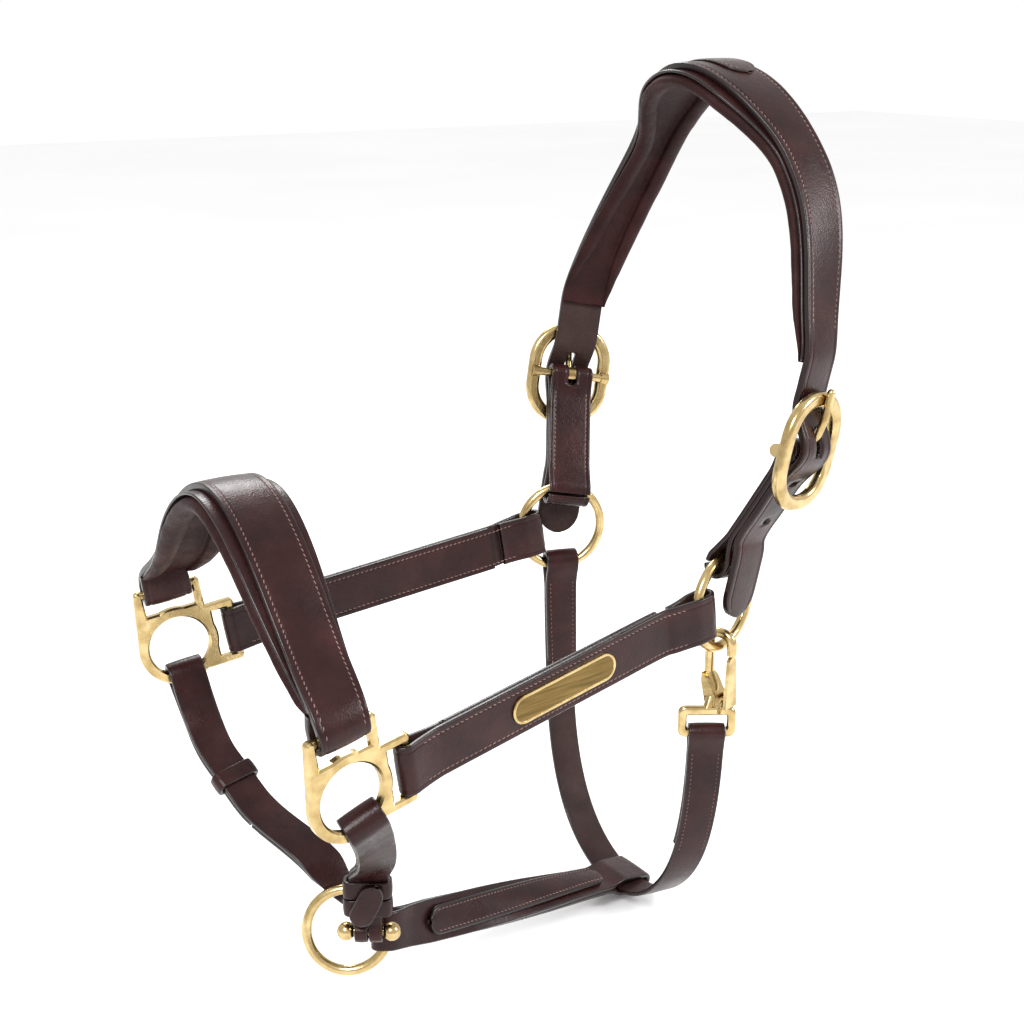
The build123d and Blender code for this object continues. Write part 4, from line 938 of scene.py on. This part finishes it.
def keeper(name, middle, wide, thick, run, body, node):
    """A leather band round a doubled strap."""
    half_wide = CHIN_WIDTH / 2 + KEEPER_CLEARANCE
    half_thick = PLY + KEEPER_CLEARANCE
    corner = 1.6
    outline = []
    for sx, sy, start in ((1, 1, 0), (-1, 1, 90), (-1, -1, 180), (1, -1, 270)):
        for k in range(5):
            turn = math.radians(start + 90 * k / 4)
            outline.append((sx * (half_wide - corner) + corner * math.cos(turn),
                            sy * (half_thick - corner) + corner * math.sin(turn)))
    outline += outline[:1]
    loop = []
    for (x, y), (nx, ny) in zip(outline, outline[1:]):
        pieces = max(1, round(math.hypot(nx - x, ny - y) / 2))
        loop += [(x + (nx - x) * k / pieces, y + (ny - y) * k / pieces) for k in range(pieces)]
    points, faces, indices = [], [], []
    size = 0
    for i, (x, y) in enumerate(loop):
        bx, by = loop[i - 1]
        ax, ay = loop[(i + 1) % len(loop)]
        length = math.hypot(ax - bx, ay - by)
        nx, ny = (ay - by) / length, -(ax - bx) / length
        section = strap_section(KEEPER_WIDTH, 0, KEEPER_PLY, dome=0.35, corner=0.6)
        size = len(section)
        for across, out, m in section:
            points.append(middle + wide * (x + nx * out) + thick * (y + ny * out) + run * across)
    count = len(loop)
    for i in range(count):
        for k in range(size):
            a, b = i * size, ((i + 1) % count) * size
            faces.append((a + k, a + (k + 1) % size, b + (k + 1) % size, b + k))
            indices.append(max(section[k][2], section[(k + 1) % size][2]) if section[k][2] else 0)
    piece = new_piece(name, points, faces, indices, STRAP_FACES)
    normals_outward(piece)
    settle(piece, body, node)


keeper("knot_band_lower", in_chin(0, 0, KNOT_BOTTOM + 0.5 + KEEPER_WIDTH / 2), chin_right, -chin_away, Z,
       "nosepiece", "lower_knot_keeper")
keeper("knot_band_upper", in_chin(0, 0, KNOT_BOTTOM + 1.3 + KEEPER_WIDTH * 1.5), chin_right, -chin_away, Z,
       "nosepiece", "upper_knot_keeper")

LEAF_WIDTH = 12.0
leaf_along = (chin_right * 9 + Z * 20).normalized()
leaf_across = (-chin_away).cross(leaf_along)
leaf = [(in_chin(-5 + 2.6 * k, -5.4 - 0.35 * k * (4 - k) - (1.5 if k == 4 else 0), 8 + 5.4 * k), leaf_across,
         LEAF_WIDTH) for k in range(5)]
strap("knot_leaf", leaf, 0, 2.2, "nosepiece", dome=0.8, tips=(6, 8), step=1.2)

off_rim, off_flat, off_inward = on_rim(OFF_LOOP_ANGLE, -1)
off_turn = in_chin(*OFF_CHIN_TURN)
off_run = (off_turn - off_rim).normalized()
keeper_at = off_rim + off_run * KEEPER_PLACE + Vector(OFF_CHIN_BOW)
off_start = (keeper_at - off_run * OFF_STRAIGHT / 2 - off_rim).normalized()
off_wide = (X - off_run * X.dot(off_run)).normalized()
off_across = (off_flat - off_start * off_flat.dot(off_start)).normalized()
off_centre = [(off_rim + off_inward * rim_sag * 0.7, off_across, CHIN_WIDTH),
              (off_rim + off_start * 12, off_across, CHIN_WIDTH),
              (off_rim + off_start * (OFF_LOOP_REACH - 8), off_across, CHIN_WIDTH),
              (keeper_at - off_run * KEEPER_TRAVEL, off_wide, CHIN_WIDTH),
              (keeper_at, off_wide, CHIN_WIDTH),
              (keeper_at + off_run * KEEPER_TRAVEL, off_wide, CHIN_WIDTH),
              (off_turn, blend(off_wide, chin_right, 0.5), CHIN_WIDTH),
              (in_chin(-13, 22.5, 8), chin_right, CHIN_WIDTH - 7),
              (in_chin(-TAB_OFFSET, 14, 1), chin_right, TAB_WIDTH + 1),
              (in_chin(-TAB_OFFSET, 6, 0), chin_right, TAB_WIDTH),
              (in_chin(-TAB_OFFSET, 0, 0), chin_right, TAB_WIDTH)]
folded("off_chin_strap_leather", smoothed(off_centre, 60), "nosepiece", "off_chin_strap",
       start=(rim_eye + PLY / 2, 2.0, OFF_LOOP_REACH - 6), end=(tab_eye + PLY / 2, 0.5, 6), step=1.5)
keeper("chin_sliding_keeper", keeper_at, off_wide, off_run.cross(off_wide), off_run, "chin_keeper",
       "chin_keeper")

# ---------------------------------------------------------------- throat strap
off_ring_at = ring_at * Vector((1, -1, 1))
off_ring_forward = ring_forward * Vector((1, -1, 1))
throat_start = off_ring_at - Z * RING_RADIUS
THROAT_SAMPLES = 65
throat_line = spline([tuple(throat_start)] + THROAT_POINTS + [SNAP_EYE], (0, 0, -1),
                     Z + snap_wide.cross(Z) * 0.15, THROAT_SAMPLES)
throat = []
for i, point in enumerate(throat_line):
    t = i / (THROAT_SAMPLES - 1)
    turned = blend(-off_ring_forward, X, min(1.0, 4 * t)) if t < 0.5 else blend(X, snap_wide, 2 * t - 1)
    throat.append((point, turned, NARROW_WIDTH))
throat_sag = ring_sag(RING_RADIUS, NARROW_WIDTH)
throat[0] = (throat_start + Z * throat_sag, throat[0][1], NARROW_WIDTH)
THROAT_SEAM = 2.6
_, front, back = folded(
    "throat_strap_leather", throat[::-1], "nosepiece", "throat_strap",
    start=(EYE_BAR + LOOSE_GAP + PLY / 2, 0.5, 13),
    end=(WIRE_RADIUS + SWING_SLACK + PLY / 2, throat_sag, 13), laps=(76, 62), step=2.0)
stitches("throat_near_stitching", front[6:44], THROAT_SEAM, PLY / 2, "nosepiece", dome=FOLD_DOME)
stitches("throat_off_stitching", back[::-1][6:36], THROAT_SEAM, PLY / 2, "nosepiece", dome=FOLD_DOME)

# ---------------------------------------------------------------- connecting strap
LOOP_STEP = 18                # the CAD throat strap's cross-section in the loop; here there are twice as many
wire_right = in_chin(CHIN_RING_SHIFT[0] + CHIN_RING_RADIUS, CHIN_RING_SHIFT[1], CHIN_RING_SHIFT[2])
loop_frame = framed(throat)[LOOP_STEP * 2]
loop_at = loop_frame[0]
loop_along = loop_frame[3]
connecting_run = (loop_at - wire_right).normalized()
connecting_reach = (loop_at - wire_right).length
chin_sag = ring_sag(CHIN_RING_RADIUS, NARROW_WIDTH)


def connecting_station(distance, width):
    turn = min(1.0, max(0.0, (distance - 8) / (connecting_reach * 0.8)))
    return (wire_right + connecting_run * distance, blend(chin_ring_up, -loop_along, turn), width)


connecting_centre = [(wire_right - chin_right * chin_sag, chin_ring_up, NARROW_WIDTH)]
connecting_centre += [connecting_station(6 + (connecting_reach - 8) * i / 9,
                                         CONNECTING_WIDTH if i else NARROW_WIDTH + 1) for i in range(10)]
connecting_centre.append(connecting_station(connecting_reach + 9, CONNECTING_WIDTH))
folded("connecting_strap_leather", connecting_centre, "nosepiece", "connecting_strap",
       start=(WIRE_RADIUS + LOOSE_GAP + PLY / 2, chin_sag, 14), end=(LOOP_HEIGHT / 2 + PLY / 2, 19, 12),
       step=2.0)
FILLER_FACE = PLY + FILLER_THICKNESS - 0.6
FILLER_DOME = 0.9
FILLER_SEAM = 2.2
filler_line = [connecting_station(24 + (connecting_reach - 46) * i / 12, FILLER_WIDTH) for i in range(13)]
strap("connecting_filler_leather", filler_line, PLY + GAP, FILLER_FACE, "nosepiece", "connecting_filler",
      dome=FILLER_DOME, groove=FILLER_SEAM, tips=(7, 7), corner=1.2)
stitches("connecting_stitching", filler_line, FILLER_SEAM, FILLER_FACE, "nosepiece", start=5,
         end=connecting_reach - 47, dome=FILLER_DOME)

# ---------------------------------------------------------------- metal
for node in ("near_buckle", "off_buckle", "near_tongue", "off_tongue", "near_ring", "off_ring", "near_square",
             "off_square", "halter_bolt", "chin_ring", "snap_hook", "snap_gate", "snap_pin"):
    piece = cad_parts[node]
    piece.data.materials.clear()
    piece.data.materials.append(brass)

# ---------------------------------------------------------------- camera, floor and light
CAMERA_AT = (-0.5262, -0.6447, 0.0322)
VIEW_DIRECTION = Vector((0.5103, 0.8059, -0.3002))
camera = bpy.data.objects.new("camera", bpy.data.cameras.new("camera"))
bpy.context.collection.objects.link(camera)
camera.location = CAMERA_AT
camera.rotation_euler = VIEW_DIRECTION.to_track_quat("-Z", "Y").to_euler()
camera.data.lens = 54.84
camera.data.sensor_width = 36
bpy.context.scene.camera = camera

floor_level = cad_box[0][2] - 0.002
floor = new_piece("floor", [Vector((x, y, floor_level / MM)) for x, y in
                            ((-6000, -6000), (6000, -6000), (6000, 6000), (-6000, 6000))],
                  [(0, 1, 2, 3)], [0], [], smooth=False)
floor_paint, nodes, links, shader, place = new_material("floor_paint")
cloud = texture(nodes, links, place, "ShaderNodeTexNoise", 1.5, Detail=2)
links.new(ramp(nodes, links, cloud.outputs["Fac"], [(0.3, (0.93, 0.93, 0.93)), (0.7, (0.96, 0.96, 0.96))]),
          shader.inputs["Base Color"])
shader.inputs["Roughness"].default_value = 0.9
floor.data.materials.append(floor_paint)

world = bpy.data.worlds.new("world")
bpy.context.scene.world = world
world.use_nodes = True
world.node_tree.nodes["Background"].inputs["Color"].default_value = (1.0, 1.0, 1.0, 1)
world.node_tree.nodes["Background"].inputs["Strength"].default_value = 1.0
target = (Vector(cad_box[0]) + Vector(cad_box[1])) / 2


def area_light(name, offset, size, power):
    lamp = bpy.data.objects.new(name, bpy.data.lights.new(name, "AREA"))
    bpy.context.collection.objects.link(lamp)
    lamp.data.shape = "SQUARE"
    lamp.data.size = size
    lamp.data.energy = power
    lamp.location = target + Vector(offset)
    lamp.rotation_euler = (-Vector(offset)).to_track_quat("-Z", "Y").to_euler()


area_light("key_light", (-1.1, -0.9, 1.3), 0.6, 30)
area_light("right_light", (1.2, -1.1, 0.9), 0.5, 20)
area_light("back_light", (0.4, 1.4, 1.2), 0.6, 16)
bpy.context.scene.view_settings.view_transform = "Standard"
